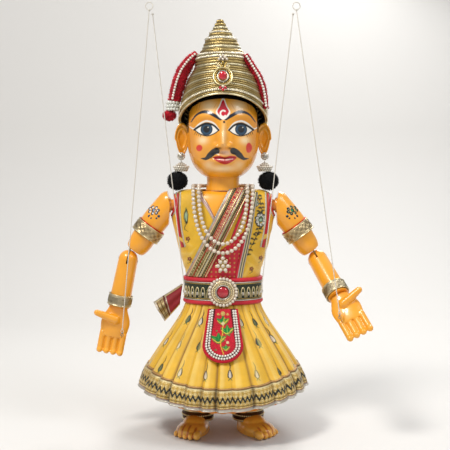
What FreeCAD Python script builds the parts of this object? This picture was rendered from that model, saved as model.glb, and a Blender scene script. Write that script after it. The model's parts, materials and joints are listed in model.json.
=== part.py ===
"""A string puppet of carved and painted wood in a cloth costume, as a parametric FreeCAD document.

Millimetres and degrees. +Z is up, the puppet faces -Y and its right hand is at -X. The origin is on the floor
under the middle of the whole puppet's bounding box: the parts are drawn about the body's own middle and moved
as they are written. Every limb is built in its own frame, with its pivot at the origin and the limb hanging
along -Z, and a Placement takes it to its joint.
"""

import FreeCAD, Part
import math
import os
import re

import Sketcher
from FreeCAD import Placement, Rotation, Vector

# ---- Driving dimensions: one spreadsheet cell each -----------------------------------------------
SIZES = {
    # fits
    "run_gap": 0.08,  # radial gap where a peg turns in its bore
    "set_gap": 0.03,  # radial gap where a pin is glued in
    "cloth_gap": 0.4,  # air between wood and cloth, or between two layers of cloth
    "cloth_thick": 1.4,
    # torso, an oval carving that ends under the belt
    "torso_wide": 68.0,  # half width at the shoulders
    "torso_deep": 36.0,  # half depth at the chest
    "torso_low": 164.0,
    "torso_high": 325.0,
    # head, neck and crown
    "head_wide": 47.5,
    "head_deep": 46.5,
    "chin_z": 338.0,
    "head_top_z": 470.0,
    "neck_radius": 23.0,
    "neck_peg_radius": 9.0,
    "neck_peg_deep": 28.0,
    "crown_radius": 59.0,
    "crown_rim_z": 386.0,  # at the nape; the brim slopes up to the forehead
    "crown_side_z": 418.0,
    "crown_top_z": 554.0,
    "ear_x": 55.0,
    "ear_z": 393.5,
    "ear_high": 20.0,
    "ear_wide": 9.5,
    "ear_deep": 5.0,
    # ear-rings
    "stud_radius": 5.4,
    "stud_x": 56.0,
    "stud_z": 371.5,
    "bell_radius": 10.5,
    "pompom_radius": 12.2,
    "pompom_z": 338.6,
    # shoulders and arms
    "shoulder_x": 74.0,
    "shoulder_z": 306.0,
    "ball_radius": 10.5,
    "dowel_radius": 8.0,
    "dowel_deep": 34.0,
    "side_clear_x": 70.8,  # the arm never comes nearer to the body's middle plane
    "arm_radius": 17.6,
    "elbow_radius": 13.0,
    "elbow_drop": 91.5,  # shoulder pivot to elbow pivot
    "elbow_gap": 1.8,
    "wrist_drop": 65.0,  # elbow pivot to wrist
    "wrist_radius": 14.4,
    "tenon_radius": 5.0,
    "tenon_long": 16.0,
    "armlet_drop": 44.0,
    "armlet_radius": 21.0,
    "armlet_high": 16.5,
    "bracelet_drop": 55.8,
    "bracelet_radius": 16.8,
    "bracelet_high": 15.0,
    "pin_radius": 1.2,
    "tab_thick": 1.6,
    "tab_half": 4.5,
    "palm_wide": 19.0,
    "palm_thick": 7.5,
    "palm_long": 42.0,
    "finger_radius": 4.3,
    "finger_long": 21.0,
    "thumb_long": 27.0,
    # strings and their links
    "link_radius": 1.8,
    "link_wire": 0.4,
    "link_step": 2.5,
    "string_radius": 0.6,
    "knot_radius": 1.5,
    "loop_radius": 4.5,
    # belt, skirts and apron
    "belt_low": 175.0,
    "belt_high": 211.0,
    "waist_wide": 53.3,
    "waist_deep": 38.5,
    "buckle_radius": 19.5,
    "buckle_z": 193.0,
    "skirt_top": 174.6,
    "hem_z": 56.0,  # at the front; the sides sweep up
    "hem_sweep_radius": 1100.0,
    "hem_wide": 114.0,
    "hem_deep": 103.0,
    "border_high": 28.0,
    "slip_hem_z": 51.0,
    "slip_wide": 98.0,
    "slip_deep": 88.0,
    "apron_long": 81.0,
    "apron_wide": 26.0,
    "apron_thick": 2.4,
    # necklaces
    "bead_radius": 2.8,
    "bead_gap": 0.25,
    "neck_bead_x": 39.5,
    "inner_drop_z": 256.5,
    "outer_drop_z": 244.5,
    # legs
    "leg_x": 34.0,
    "hip_z": 148.0,
    "thigh_radius": 15.0,
    "knee_z": 84.0,
    "shin_radius": 13.0,
    "ankle_radius": 15.0,
    "leg_rod_radius": 2.0,
    "lug_half": 7.0,
    "lug_thick": 8.0,
    "anklet_radius": 22.0,
    "anklet_low": 17.6,
    "anklet_high": 14.0,
    "foot_long": 66.0,
    "foot_wide": 18.5,
}

# ---- How the puppet stands at rest, in degrees ---------------------------------------------------
UPPER_ARM_OUT = {"right": 36.4, "left": 36.4}
FOREARM_OUT = {"right": 11.7, "left": 27.5}
FOREARM_BENT = {"right": 0.0, "left": 40.0}
TOES_OUT = {"right": 12.0, "left": 24.0}
LIFT_LOW, LIFT_HIGH = -5.0, 13.0  # the shoulder is cut away for a degree more than the joint's travel
SIDES = {"right": -1, "left": 1}

X, Y, Z = Vector(1, 0, 0), Vector(0, 1, 0), Vector(0, 0, 1)

doc = FreeCAD.newDocument("Puppet")
sheet = doc.addObject("Spreadsheet::Sheet", "Sizes")
for row, (alias, size) in enumerate(SIZES.items(), start=1):
    sheet.set(f"A{row}", alias)
    sheet.set(f"B{row}", str(size))
    sheet.setAlias(f"B{row}", alias)
doc.recompute()

subparts = []


# ---- Small helpers -------------------------------------------------------------------------------
def cells(expression):
    """The expression with each size's name turned into its spreadsheet cell."""
    return re.sub(r"[a-z_]+", lambda m: "Sizes." + m.group() if m.group() in SIZES else m.group(),
                  str(expression))


def size(expression):
    """The number that an expression over the cells has now."""
    got = sheet.evalExpression(cells(expression))
    return float(getattr(got, "Value", got))


def place(x=0, y=0, z=0, turn=None):
    """A Placement from three expressions or numbers and a rotation."""
    return Placement(Vector(size(x), size(y), size(z)), turn or Rotation())


def along(direction):
    """The rotation that takes +Z to a direction."""
    return Rotation(Z, Vector(*direction))


def feature(kind, name, at=None, **bound):
    """A Part primitive whose properties are bound to expressions over the cells."""
    made = doc.addObject("Part::" + kind, name)
    for prop, expression in bound.items():
        made.setExpression(prop, cells(expression))
    made.Placement = at or Placement()
    return made


def rod(name, radius, length, at=None):
    """A cylinder centred on its own origin."""
    half = place(z=f"-({length})/2")
    return feature("Cylinder", name, (at or Placement()) * half, Radius=radius, Height=length)


def block(name, wide, deep, high, at=None):
    """A box centred on its own origin."""
    middle = place(f"-({wide})/2", f"-({deep})/2", f"-({high})/2")
    return feature("Box", name, (at or Placement()) * middle, Length=wide, Width=deep, Height=high)


def ball(name, radius, at=None):
    return feature("Sphere", name, at, Radius=radius)


def ring(name, radius, wire, at=None):
    return feature("Torus", name, at, Radius1=radius, Radius2=wire)


def fuse(name, *parts, at=None):
    made = doc.addObject("Part::MultiFuse", name)
    made.Shapes = list(parts)
    made.Placement = at or Placement()
    return made


def group(name, *parts, at=None):
    """Separate solids that share one node."""
    made = doc.addObject("Part::Compound", name)
    made.Links = list(parts)
    made.Placement = at or Placement()
    return made


def common(name, one, other, at=None):
    made = doc.addObject("Part::MultiCommon", name)
    made.Shapes = [one, other]
    made.Placement = at or Placement()
    return made


def cut(name, base, *tools, at=None):
    """The base with every tool taken out of it."""
    made = doc.addObject("Part::Cut", name)
    made.Base = base
    made.Tool = tools[0] if len(tools) == 1 else fuse(name + "_tools", *tools)
    made.Placement = at or Placement()
    return made


def loft(name, sections, at=None, ruled=False):
    """A solid through ovals, each (height, half width, half depth, x, y) with the half width the larger."""
    ovals = []
    for number, (height, wide, deep, x, y) in enumerate(sections):
        oval = feature("Ellipse", f"{name}_{number}", place(x, y, height), MajorRadius=wide, MinorRadius=deep)
        ovals.append(oval)
    made = doc.addObject("Part::Loft", name)
    made.Sections = ovals
    made.Solid = True
    made.Ruled = ruled
    made.Placement = at or Placement()
    return made


def outline(body, name, points, plane="XZ_Plane"):
    """A closed sketch of straight lines through points, each held by two distances bound to the cells."""
    sketch = body.newObject("Sketcher::SketchObject", name)
    origin = next(f for f in body.Origin.OriginFeatures if f.Role == plane)
    sketch.AttachmentSupport = [(origin, "")]
    sketch.MapMode = "FlatFace"
    corners = [Vector(size(x), size(y), 0) for x, y in points]
    for here, there in zip(corners, corners[1:] + corners[:1]):
        sketch.addGeometry(Part.LineSegment(here, there), False)
    count = len(corners)
    for i in range(count):
        sketch.addConstraint(Sketcher.Constraint("Coincident", i, 2, (i + 1) % count, 1))
    for i, point in enumerate(points):
        for kind, axis, expression in (("DistanceX", -2, point[0]), ("DistanceY", -1, point[1])):
            if size(expression) == 0:
                sketch.addConstraint(Sketcher.Constraint("PointOnObject", i, 1, axis))
                continue
            index = sketch.addConstraint(Sketcher.Constraint(kind, -1, 1, i, 1, size(expression)))
            sketch.setExpression(f"Constraints[{index}]", cells(expression))
    return sketch


def turned(name, points, at=None):
    """A body of revolution about Z from (radius, height) points."""
    body = doc.addObject("PartDesign::Body", name)
    sketch = outline(body, name + "_outline", points)
    turn = body.newObject("PartDesign::Revolution", name + "_turn")
    turn.Profile = sketch
    turn.ReferenceAxis = (sketch, ["V_Axis"])
    turn.Angle = 360.0
    body.Placement = at or Placement()
    return body


def plate(name, points, thick, at=None):
    """A flat body in the XZ plane, centred on it, from (x, z) points."""
    body = doc.addObject("PartDesign::Body", name)
    sketch = outline(body, name + "_outline", points)
    pad = body.newObject("PartDesign::Pad", name + "_pad")
    pad.Profile = sketch
    pad.setExpression("Length", cells(thick))
    pad.Midplane = True
    body.Placement = at or Placement()
    return body


def keep(made, label):
    """Marks a finished sub-part, whose label names its file."""
    made.Label = label
    subparts.append(made)
    return made


# ---- Oval shells around the body -----------------------------------------------------------------
# height share, half width share and half depth share of the torso carving
TORSO_RINGS = (
    (0.00, 0.61, 0.76),
    (0.08, 0.63, 0.80),
    (0.18, 0.66, 0.87),
    (0.29, 0.69, 0.92),
    (0.44, 0.79, 0.97),
    (0.58, 0.88, 1.00),
    (0.74, 0.965, 0.97),
    (0.88, 1.00, 0.86),
    (0.95, 0.95, 0.74),
    (0.985, 0.84, 0.62),
    (1.00, 0.68, 0.50),
)


def torso_loft(name, proud):
    """The torso's oval form, standing proud of the carving by an expression."""
    sections = []
    for high, wide, deep in TORSO_RINGS:
        sections.append(
            (
                f"torso_low + {high} * (torso_high - torso_low + ({proud}))",
                f"{wide} * torso_wide + ({proud})",
                f"{deep} * torso_deep + ({proud})",
                0,
                0,
            )
        )
    return loft(name, sections)


def torso_half(z):
    """Half width and half depth of the carving at a height, straight between its rings."""
    share = (z - size("torso_low")) / (size("torso_high") - size("torso_low"))
    for (h0, w0, d0), (h1, w1, d1) in zip(TORSO_RINGS, TORSO_RINGS[1:]):
        if share <= h1:
            part = (share - h0) / (h1 - h0)
            return size("torso_wide") * (w0 + part * (w1 - w0)), size("torso_deep") * (d0 + part * (d1 - d0))
    return size("torso_wide") * TORSO_RINGS[-1][1], size("torso_deep") * TORSO_RINGS[-1][2]


def shell(name, form, outer, inner):
    """The space between two sizes of one form, each a function of how far it stands proud."""
    return cut(name, form(name + "_outside", outer), form(name + "_inside", inner))


# ---- Torso and costume ---------------------------------------------------------------------------
def torso():
    carving = torso_loft("torso_carving", 0)
    neck_bore = rod(
        "neck_bore", "neck_peg_radius + run_gap", "2 * neck_peg_deep + 2", place(z="torso_high")
    )
    holes = [neck_bore]
    lugs = []
    for side, s in SIDES.items():
        bore = rod(
            f"{side}_shoulder_bore",
            "dowel_radius + run_gap",
            "2 * dowel_deep",
            place(f"{s} * (shoulder_x + 1)", 0, "shoulder_z", Rotation(Y, 90)),
        )
        holes.append(bore)
        lug = fuse(
            f"{side}_hip_lug",
            block(f"{side}_lug_web", "lug_thick", "2 * lug_half", "torso_low - hip_z + 4",
                  place(z="(torso_low - hip_z + 4) / 2")),
            rod(f"{side}_lug_round", "lug_half", "lug_thick", Placement(Vector(), Rotation(Y, 90))),
            at=place(f"{s} * leg_x", 0, "hip_z"),
        )
        lugs.append(lug)
    rod_bore = rod("hip_rod_bore", "leg_rod_radius + set_gap", "4 * leg_x",
                   place(z="hip_z", turn=Rotation(Y, 90)))
    keep(cut("torso_body", fuse("torso_solid", carving, *lugs), *holes, rod_bore), "torso")
    hip_rod = rod("hip_rod_body", "leg_rod_radius", "2 * (leg_x + thigh_radius) - 1",
                  place(z="hip_z", turn=Rotation(Y, 90)))
    keep(hip_rod, "hip_rod")


def vest():
    """A sleeveless blouse with a V neck, open round the neck and shoulder balls, tucked under the belt."""
    cloth = shell("vest_shell", torso_loft, "cloth_gap + cloth_thick", "cloth_gap")
    neck = rod("vest_neck", "neck_radius + 5", 60, place(z="torso_high"))
    v_corners = (("-neck_radius - 9", "torso_high + 8"), ("neck_radius + 9", "torso_high + 8"), (4, 272),
                 (-4, 272))
    v_neck = plate("vest_v", v_corners, 100, place(y=-50))
    armholes = []
    for side, s in SIDES.items():
        hole = rod(f"{side}_armhole", "ball_radius + 2.5", 16,
                   place(f"{s} * torso_wide", 0, "shoulder_z", Rotation(Y, 90)))
        armholes.append(hole)
    below = block("vest_low_cut", 300, 300, 100, place(z="belt_low + 24 - 50"))
    opened = cut("vest_opened", cloth, neck, v_neck, below)
    keep(cut("vest_body", opened, group("armholes", *armholes)), "vest")


def sash():
    """A brocade band over the left shoulder and across to the right hip, front and back."""
    band = shell("sash_shell", torso_loft, "2.2 * cloth_gap + 2 * cloth_thick", "2 * cloth_gap + cloth_thick")
    lean = math.degrees(math.atan2(size("0.85 * torso_wide"), size("torso_high - belt_high")))
    slab = block("sash_slab", "0.38 * torso_wide", 200, 400, place(-8, 0, "(torso_high + belt_high) / 2",
                                                                 Rotation(Y, lean)))
    low = block("sash_low_cut", 300, 300, 100, place(z="belt_high + 1 - 50"))
    neck = rod("sash_neck", "neck_radius + 3", 60, place(z="torso_high"))
    armhole = rod("sash_armhole", "ball_radius + 2.5", 30, place("torso_wide", 0, "shoulder_z",
                                                                 Rotation(Y, 90)))
    keep(cut("sash_body", common("sash_band", band, slab), low, neck, armhole), "sash")

    tail = (("-waist_wide - 2", "belt_high - 13"), ("-waist_wide - 43", "belt_high - 39"),
            ("-waist_wide - 27", "belt_low - 30"), ("-waist_wide - 6", "belt_low - 6"))
    keep(plate("sash_tail_body", tail, "cloth_thick + 0.4", place(y=15)), "sash_tail")


def waist_oval(name, proud, low="belt_low", high="belt_high"):
    """An upright oval tube's filling at the waist."""
    wide, deep = f"waist_wide + ({proud})", f"waist_deep + ({proud})"
    return loft(name, [(low, wide, deep, 0, 0), (high, wide, deep, 0, 0)], ruled=True)


def belt():
    inside = waist_oval("belt_inside", "-3.0", "belt_low - 1", "belt_high + 1")
    keep(cut("belt_body", waist_oval("belt_outside", 0), inside), "waist_belt")

    face = place(0, "-waist_deep - 0.2", "buckle_z", along((0, -1, 0)))
    steps = ((0, 0), ("buckle_radius - 2.6", 0), ("buckle_radius - 2.6", 2.6), ("buckle_radius - 5.6", 3.6),
             ("buckle_radius - 8.6", 3.0), ("buckle_radius - 11", 4.2), (0, 4.2))
    disc = turned("buckle_disc", steps, face)
    gem_base = face * place(z=4.3)
    gem = common("buckle_gem", feature("Sphere", "gem_ball", gem_base * place(z="-0.2 * buckle_radius"),
                                       Radius="0.45 * buckle_radius"),
                 rod("gem_keep", "buckle_radius", 20, gem_base * place(z=10)))
    beads = []
    count = 30
    for i in range(count):
        spot = Rotation(Z, 360.0 * i / count).multVec(Vector(size("buckle_radius - 1.0"), 0, 1.6))
        beads.append(ball(f"buckle_bead_{i}", "0.5 * bead_radius + 0.1", face * Placement(spot, Rotation())))
    keep(group("buckle_body", disc, gem, *beads), "belt_buckle")


# height share from the waist to the hem, and how much of the flare the skirt has there
SKIRT_RINGS = ((0.0, 0.0), (0.2, 0.19), (0.4, 0.45), (0.6, 0.71), (0.8, 0.93), (1.0, 1.0))


def skirt_loft(hem_z, wide, deep):
    """A function for shell(): a flared oval form from the waist to a hem."""

    def form(name, proud):
        sections = []
        for down, flare in reversed(SKIRT_RINGS):
            sections.append(
                (
                    f"skirt_top - {down} * (skirt_top - ({hem_z}))",
                    f"waist_wide - 2 + {flare} * (({wide}) - waist_wide + 2) + ({proud})",
                    f"waist_deep - 2 + {flare} * (({deep}) - waist_deep + 2) + ({proud})",
                    0,
                    0,
                )
            )
        return loft(name, sections)

    return form


def sweep_cylinder(name, lift):
    """The big cylinder along Y whose underside is the hem's curve."""
    return rod(name, "hem_sweep_radius", 400, place(z=f"hem_z + hem_sweep_radius + ({lift})",
                                                    turn=Rotation(X, 90)))


def skirts():
    flare = skirt_loft("hem_z - 2", "hem_wide", "hem_deep")
    cloth = shell("skirt_shell", flare, 0, "-cloth_thick")
    keep(common("skirt_body", cloth, sweep_cylinder("skirt_sweep", "border_high + 0.2")), "skirt")
    band = shell("border_shell", flare, 0.8, "-cloth_thick")
    hem_part = common("border_part", band, sweep_cylinder("border_sweep", 0))
    keep(cut("border_body", hem_part, sweep_cylinder("border_top_sweep", "border_high")), "skirt_border")

    slip = skirt_loft("slip_hem_z", "slip_wide", "slip_deep")
    keep(shell("slip_body", slip, "-cloth_thick - 2", "-2 * cloth_thick - 2"), "petticoat")


def apron():
    """The stiff embroidered tongue that hangs from the belt over the skirt."""
    lean = math.degrees(math.atan2(size("0.7 * (hem_deep - waist_deep)"), size("0.6 * (skirt_top - hem_z)")))
    points = [("-0.72 * apron_wide", 0)]
    steps = 10
    for i in range(steps + 1):
        turn = math.pi * i / steps
        points.append((f"-{math.cos(turn):.4f} * apron_wide",
                       f"-0.7 * apron_long - {math.sin(turn):.4f} * 0.3 * apron_long"))
    points.append(("0.72 * apron_wide", 0))
    hinge = place(0, "-waist_deep - 3.2", "belt_low - 1.5", Rotation(X, -lean))
    keep(plate("apron_body", points, "apron_thick", hinge), "front_panel")
    PIVOTS["front_panel_hinge"] = hinge.Base


def strand_spot(turn, drop, radius_x):
    """A point of a necklace. A turn of 0 is its lowest point in front, half a turn is behind the neck."""
    top = size("torso_high") + 7.0
    side, down = math.sin(turn), max(0.0, math.cos(turn))
    x = radius_x * side * (1.0 if down > 0 else 0.94)
    z = top - (top - drop) * max(0.0, (down - 0.1) / 0.9) ** 0.7
    wide, deep = torso_half(z - 5.5)
    front = -(deep + 9.8) * math.sqrt(max(0.0, 1 - (x / (wide + 8)) ** 2))
    back = -(size("neck_radius") + 7) * math.cos(turn)
    hang = min(1.0, down * 10)
    return Vector(x, hang * front + (1 - hang) * back, z)


def necklace(label, drop, radius_x):
    """A string of separate beads, evenly spaced along a loop that hangs in front and closes at the nape."""
    fine = 1440
    line = [strand_spot(2 * math.pi * i / fine, drop, radius_x) for i in range(fine + 1)]
    reach = [0.0]
    for here, there in zip(line, line[1:]):
        reach.append(reach[-1] + (there - here).Length)
    count = int(reach[-1] / size("2 * bead_radius + bead_gap"))
    beads = []
    for i in range(count):
        spot = next(point for point, far in zip(line, reach) if far >= reach[-1] * i / count)
        beads.append(ball(f"{label}_{i}", "bead_radius", Placement(spot, Rotation())))
    return beads


def necklaces():
    inner = necklace("inner", size("inner_drop_z"), size("neck_bead_x") - 7.3)
    outer = necklace("outer", size("outer_drop_z"), size("neck_bead_x"))
    keep(group("necklace_body", *inner, *outer), "pearl_necklaces")

    # rows of beads under the lowest bead, set like a small flower
    across_step = size("2 * bead_radius + 0.8")
    down_step = 5.2
    beads = []
    for row, across in enumerate((1, 2, 3, 2)):
        for n in range(across):
            x = (n - (across - 1) / 2) * across_step
            z = size("outer_drop_z") - 6.6 - down_step * row
            spot = Vector(x, -torso_half(z)[1] - 8.4, z)
            beads.append(ball(f"pendant_{row}_{n}", "bead_radius", Placement(spot, Rotation())))
    keep(group("pendant_body", *beads), "necklace_pendant")


# ---- Head ----------------------------------------------------------------------------------------
# height share from chin to crown of the head, half width share, half depth share, y
HEAD_RINGS = (
    (0.00, 0.34, 0.30, -12),
    (0.05, 0.58, 0.56, -8),
    (0.14, 0.78, 0.76, -4),
    (0.28, 0.93, 0.91, -1),
    (0.45, 1.00, 0.99, 0),
    (0.65, 1.00, 1.00, 0),
    (0.80, 0.93, 0.93, 0),
    (0.91, 0.74, 0.74, 0),
    (0.98, 0.42, 0.42, 0),
    (1.00, 0.20, 0.20, 0),
)


# height share and width share of an ear, from the lobe to the top
EAR_RINGS = ((-1.0, 0.40), (-0.8, 0.60), (-0.4, 0.75), (0.1, 0.95), (0.5, 1.0), (0.8, 0.80), (1.0, 0.35))


def head():
    sections = [
        (f"chin_z + {high} * (head_top_z - chin_z)", f"{wide} * head_wide", f"{deep} * head_deep", 0, y)
        for high, wide, deep, y in HEAD_RINGS
    ]
    skull = loft("skull", sections)
    neck = rod("neck", "neck_radius", "chin_z + 20 - torso_high - 0.4",
               place(z="(chin_z + 20 + torso_high + 0.4) / 2"))
    peg = rod("neck_peg", "neck_peg_radius", "neck_peg_deep + 4",
              place(z="torso_high + 4 - (neck_peg_deep + 4) / 2"))
    nose = feature("Cone", "nose", place(0, "-head_deep + 3", "chin_z + 48", Rotation(X, 12)),
                   Radius1=8.5, Radius2=3, Height=30)
    ears = [
        loft(f"{side}_ear", [(f"ear_z + {high} * ear_high", f"{wide} * ear_wide", f"{wide} * ear_deep",
                              f"{s} * ear_x", 3) for high, wide in EAR_RINGS], ruled=True)
        for side, s in SIDES.items()
    ]
    keep(fuse("head_body", skull, neck, peg, nose, *ears), "head")


# radius share and height share of the crown's tiers, from the rim to the tip
CROWN_TIERS = ((0.97, 0.0), (1.0, 0.22), (0.97, 0.287), (0.93, 0.367), (0.867, 0.447), (0.787, 0.528),
               (0.64, 0.608),
               (0.595, 0.673), (0.526, 0.725), (0.446, 0.753), (0.394, 0.80), (0.343, 0.833), (0.245, 0.881),
               (0.158, 0.929), (0.09, 0.978), (0.04, 1.0))


def crown():
    """A tall stepped crown, hollow over the head, with a brim that slopes up to the forehead."""
    tall = "(crown_top_z - crown_rim_z)"
    steps = [(f"{wide} * crown_radius", f"crown_rim_z + {high} * {tall}") for wide, high in CROWN_TIERS]
    steps.append((0, "crown_top_z"))
    steps.append((0, "crown_rim_z"))
    solid = turned("crown_solid", steps)
    sections = [
        (f"chin_z + {high} * (head_top_z - chin_z) + {max(0.0, high - 0.45) * 4:.3f}",
         f"{wide} * head_wide + cloth_gap + 1", f"{deep} * head_deep + cloth_gap + 1", 0, y)
        for high, wide, deep, y in HEAD_RINGS
        if high >= 0.05
    ]
    hollow = loft("crown_hollow", sections)
    tilt = math.degrees(math.atan2(size("crown_side_z - crown_rim_z"), size("crown_radius")))
    below = place(0, 0, "crown_side_z", Rotation(X, -tilt)) * place(z=-100)
    keep(cut("crown_body", solid, hollow, block("crown_below", 300, 300, 200, below)), "crown")

    face = place(0, "-0.8 * crown_radius - 2.2", 472.5, Rotation(X, 67))
    frame = ring("medallion_ring", 10.6, 1.5, face)
    setting = turned("medallion_setting", ((0, -8), (5.6, -8), (5.6, 1.4), (0, 1.4)), face)
    spoke = block("medallion_spoke", 2, 21, 1.6, face)
    gem = feature("Ellipsoid", "medallion_gem", face * place(z=4.2), Radius1=2.7, Radius2=4.6, Radius3=5.4)
    finial = ring("medallion_finial", 3.0, 1.1, face * place(0, 15.0, 0))
    drop = ball("medallion_drop", 2.6, face * place(0, -13.6, 0.4))
    metal = cut("medallion_frame", fuse("medallion_metal", frame, setting, spoke, finial, drop), solid)
    keep(group("medallion_body", metal, gem), "crown_medallion")


# each plush roll's middle line from the top down: x on the wearer's right, y, z and the roll's radius
ROLLS = {
    "right": ((-36.5, 4, 508, 4.5), (-46, 4, 497, 7.8), (-54.5, 4, 484, 9.6), (-61.5, 4, 468, 9.8),
              (-66.5, 4, 447, 8.8)),
    "left": ((-29, -18.7, 503, 4.0), (-36.5, -15.5, 490, 5.2), (-46.5, -15.4, 473, 5.8),
             (-52, -16.3, 456, 5.6),
             (-55.5, -18.5, 436, 4.4)),
}


def garlands():
    """A plush roll down each side of the crown. The right one ends in a beaded collar and a pompom."""
    for side, s in SIDES.items():
        line = [(Vector(-s * x, y, z), radius) for x, y, z, radius in ROLLS[side]]
        parts = []
        for i, ((here, r0), (there, r1)) in enumerate(zip(line, line[1:])):
            gap = there - here
            parts.append(ball(f"{side}_roll_end_{i}", r0, Placement(here, Rotation())))
            parts.append(feature("Cone", f"{side}_roll_{i}", Placement(here, along(gap)),
                                 Radius1=r0, Radius2=r1, Height=gap.Length))
        foot, r_foot = line[-1]
        parts.append(ball(f"{side}_roll_foot", r_foot, Placement(foot, Rotation())))
        low = block(f"{side}_roll_low", 60, 60, 40, Placement(foot - Vector(0, 0, 23), Rotation()))
        room = turned(f"{side}_crown_room", crown_room())
        pieces = [cut(f"{side}_roll_cut", fuse(f"{side}_roll", *parts), room, low)]
        if side == "right":
            collar = rod("garland_collar", 8.8, 10, Placement(foot - Vector(1.6, 0, 8.2), Rotation()))
            tuft = feature("Ellipsoid", "garland_tuft", Placement(foot - Vector(5.8, 0, 20.0), Rotation()),
                           Radius1=6.6, Radius2=8.2, Radius3=8.2)
            pieces += [cut("collar_fit", collar, room), cut("tuft_fit", tuft, room)]
        keep(group(f"{side}_garland_body", *pieces), f"{side}_crown_garland")


def crown_room():
    """The crown's outline a little larger, to fit the garlands round it."""
    tall = "(crown_top_z - crown_rim_z)"
    steps = [(f"{wide} * crown_radius + 0.5", f"crown_rim_z - 0.5 + {high} * {tall}") for wide,
             high in CROWN_TIERS]
    return steps + [(0, "crown_top_z + 0.5"), (0, "crown_rim_z - 0.5")]


def earrings():
    studs = []
    for side, s in SIDES.items():
        x = f"{s} * stud_x"
        disc = rod(f"{side}_stud_disc", "stud_radius", 3, place(x, -6.0, "stud_z", Rotation(X, 90)))
        post = rod(f"{side}_stud_post", 1.2, 7, place(x, -2.0, "stud_z + 3", Rotation(X, 90)))
        eye = ring(f"{side}_stud_eye", "link_radius", "link_wire",
                   place(x, -6.0, "stud_z - stud_radius - link_radius", Rotation(Y, 90)))
        studs.append(fuse(f"{side}_stud", disc, post, eye))

        hang = size("stud_z - stud_radius - link_radius - link_step")
        loop = ring(f"{side}_bell_loop", "link_radius", "link_wire", place(x, -6.0, hang, Rotation(X, 90)))
        low = size("pompom_z + pompom_radius") + 0.6
        top = hang - size("link_radius")
        tall = top - low
        profile = ((0, low), (3.0, low), ("0.62 * bell_radius", low + 0.12 * tall),
                   ("0.66 * bell_radius", low + 0.3 * tall),
                   ("bell_radius", low + 0.42 * tall), ("bell_radius", low + 0.6 * tall),
                   ("0.45 * bell_radius", low + 0.85 * tall), (0, top))
        bell = turned(f"{side}_bell", profile, place(x, -6.0, 0))
        keep(fuse(f"{side}_bell_body", loop, bell), f"{side}_earring_bell")
        pompom = feature("Ellipsoid", f"{side}_pompom_body", place(f"{x} + {s} * 5", -6.0, "pompom_z"),
                         Radius1="pompom_radius", Radius2="pompom_radius", Radius3="0.86 * pompom_radius")
        keep(pompom, f"{side}_earring_pompom")
        PIVOTS[f"{side}_earring_hinge"] = Vector(size(x), -6.0, hang + size("link_step / 2"))
    wood = doc.getObject("head_body")
    holed = cut("studs_clear", group("studs_pair", *studs), group("stud_wood", wood))
    keep(holed, "ear_studs")


# ---- Arms ----------------------------------------------------------------------------------------
def arm_frames(side):
    """Placements of the shoulder, the elbow without its bend, the forearm and the hand."""
    s = SIDES[side]
    shoulder = place(f"{s} * shoulder_x", 0, "shoulder_z", Rotation(Y, -s * UPPER_ARM_OUT[side]))
    elbow_point = shoulder.multVec(Vector(0, 0, -size("elbow_drop")))
    elbow = Placement(elbow_point, Rotation(Y, -s * FOREARM_OUT[side]))
    forearm = elbow * Placement(Vector(), Rotation(X, -FOREARM_BENT[side]))
    hand = forearm * place(z="-wrist_drop")
    return shoulder, elbow, forearm, hand


def shoulder_knuckle(side, s):
    """A dowel that turns in the torso, with a slotted ball on its end."""
    middle = place(f"{s} * shoulder_x", 0, "shoulder_z")
    dowel = rod(f"{side}_dowel", "dowel_radius", "dowel_deep - 2",
                place(f"-{s} * (dowel_deep - 2) / 2", turn=Rotation(Y, 90)))
    whole = ball(f"{side}_shoulder_ball", "ball_radius")
    outside = block(f"{side}_ball_keep", 40, 40, 40, place(f"{s} * (20 - shoulder_x + side_clear_x - 0.4)"))
    slot = block(f"{side}_ball_slot", 30, 4.6, 40, place(f"{s} * (15 - 6.6)"))
    bore = rod(f"{side}_ball_bore", "pin_radius + set_gap", 40, Placement(Vector(), Rotation(X, 90)))
    solid = fuse(f"{side}_knuckle_solid", dowel, common(f"{side}_ball_part", whole, outside))
    keep(cut(f"{side}_knuckle_body", solid, slot, bore, at=middle), f"{side}_shoulder_knuckle")
    pin = rod(f"{side}_shoulder_pin_body", "pin_radius", "2 * ball_radius - 1",
              middle * place(turn=Rotation(X, 90)))
    keep(pin, f"{side}_shoulder_pin")


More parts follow.
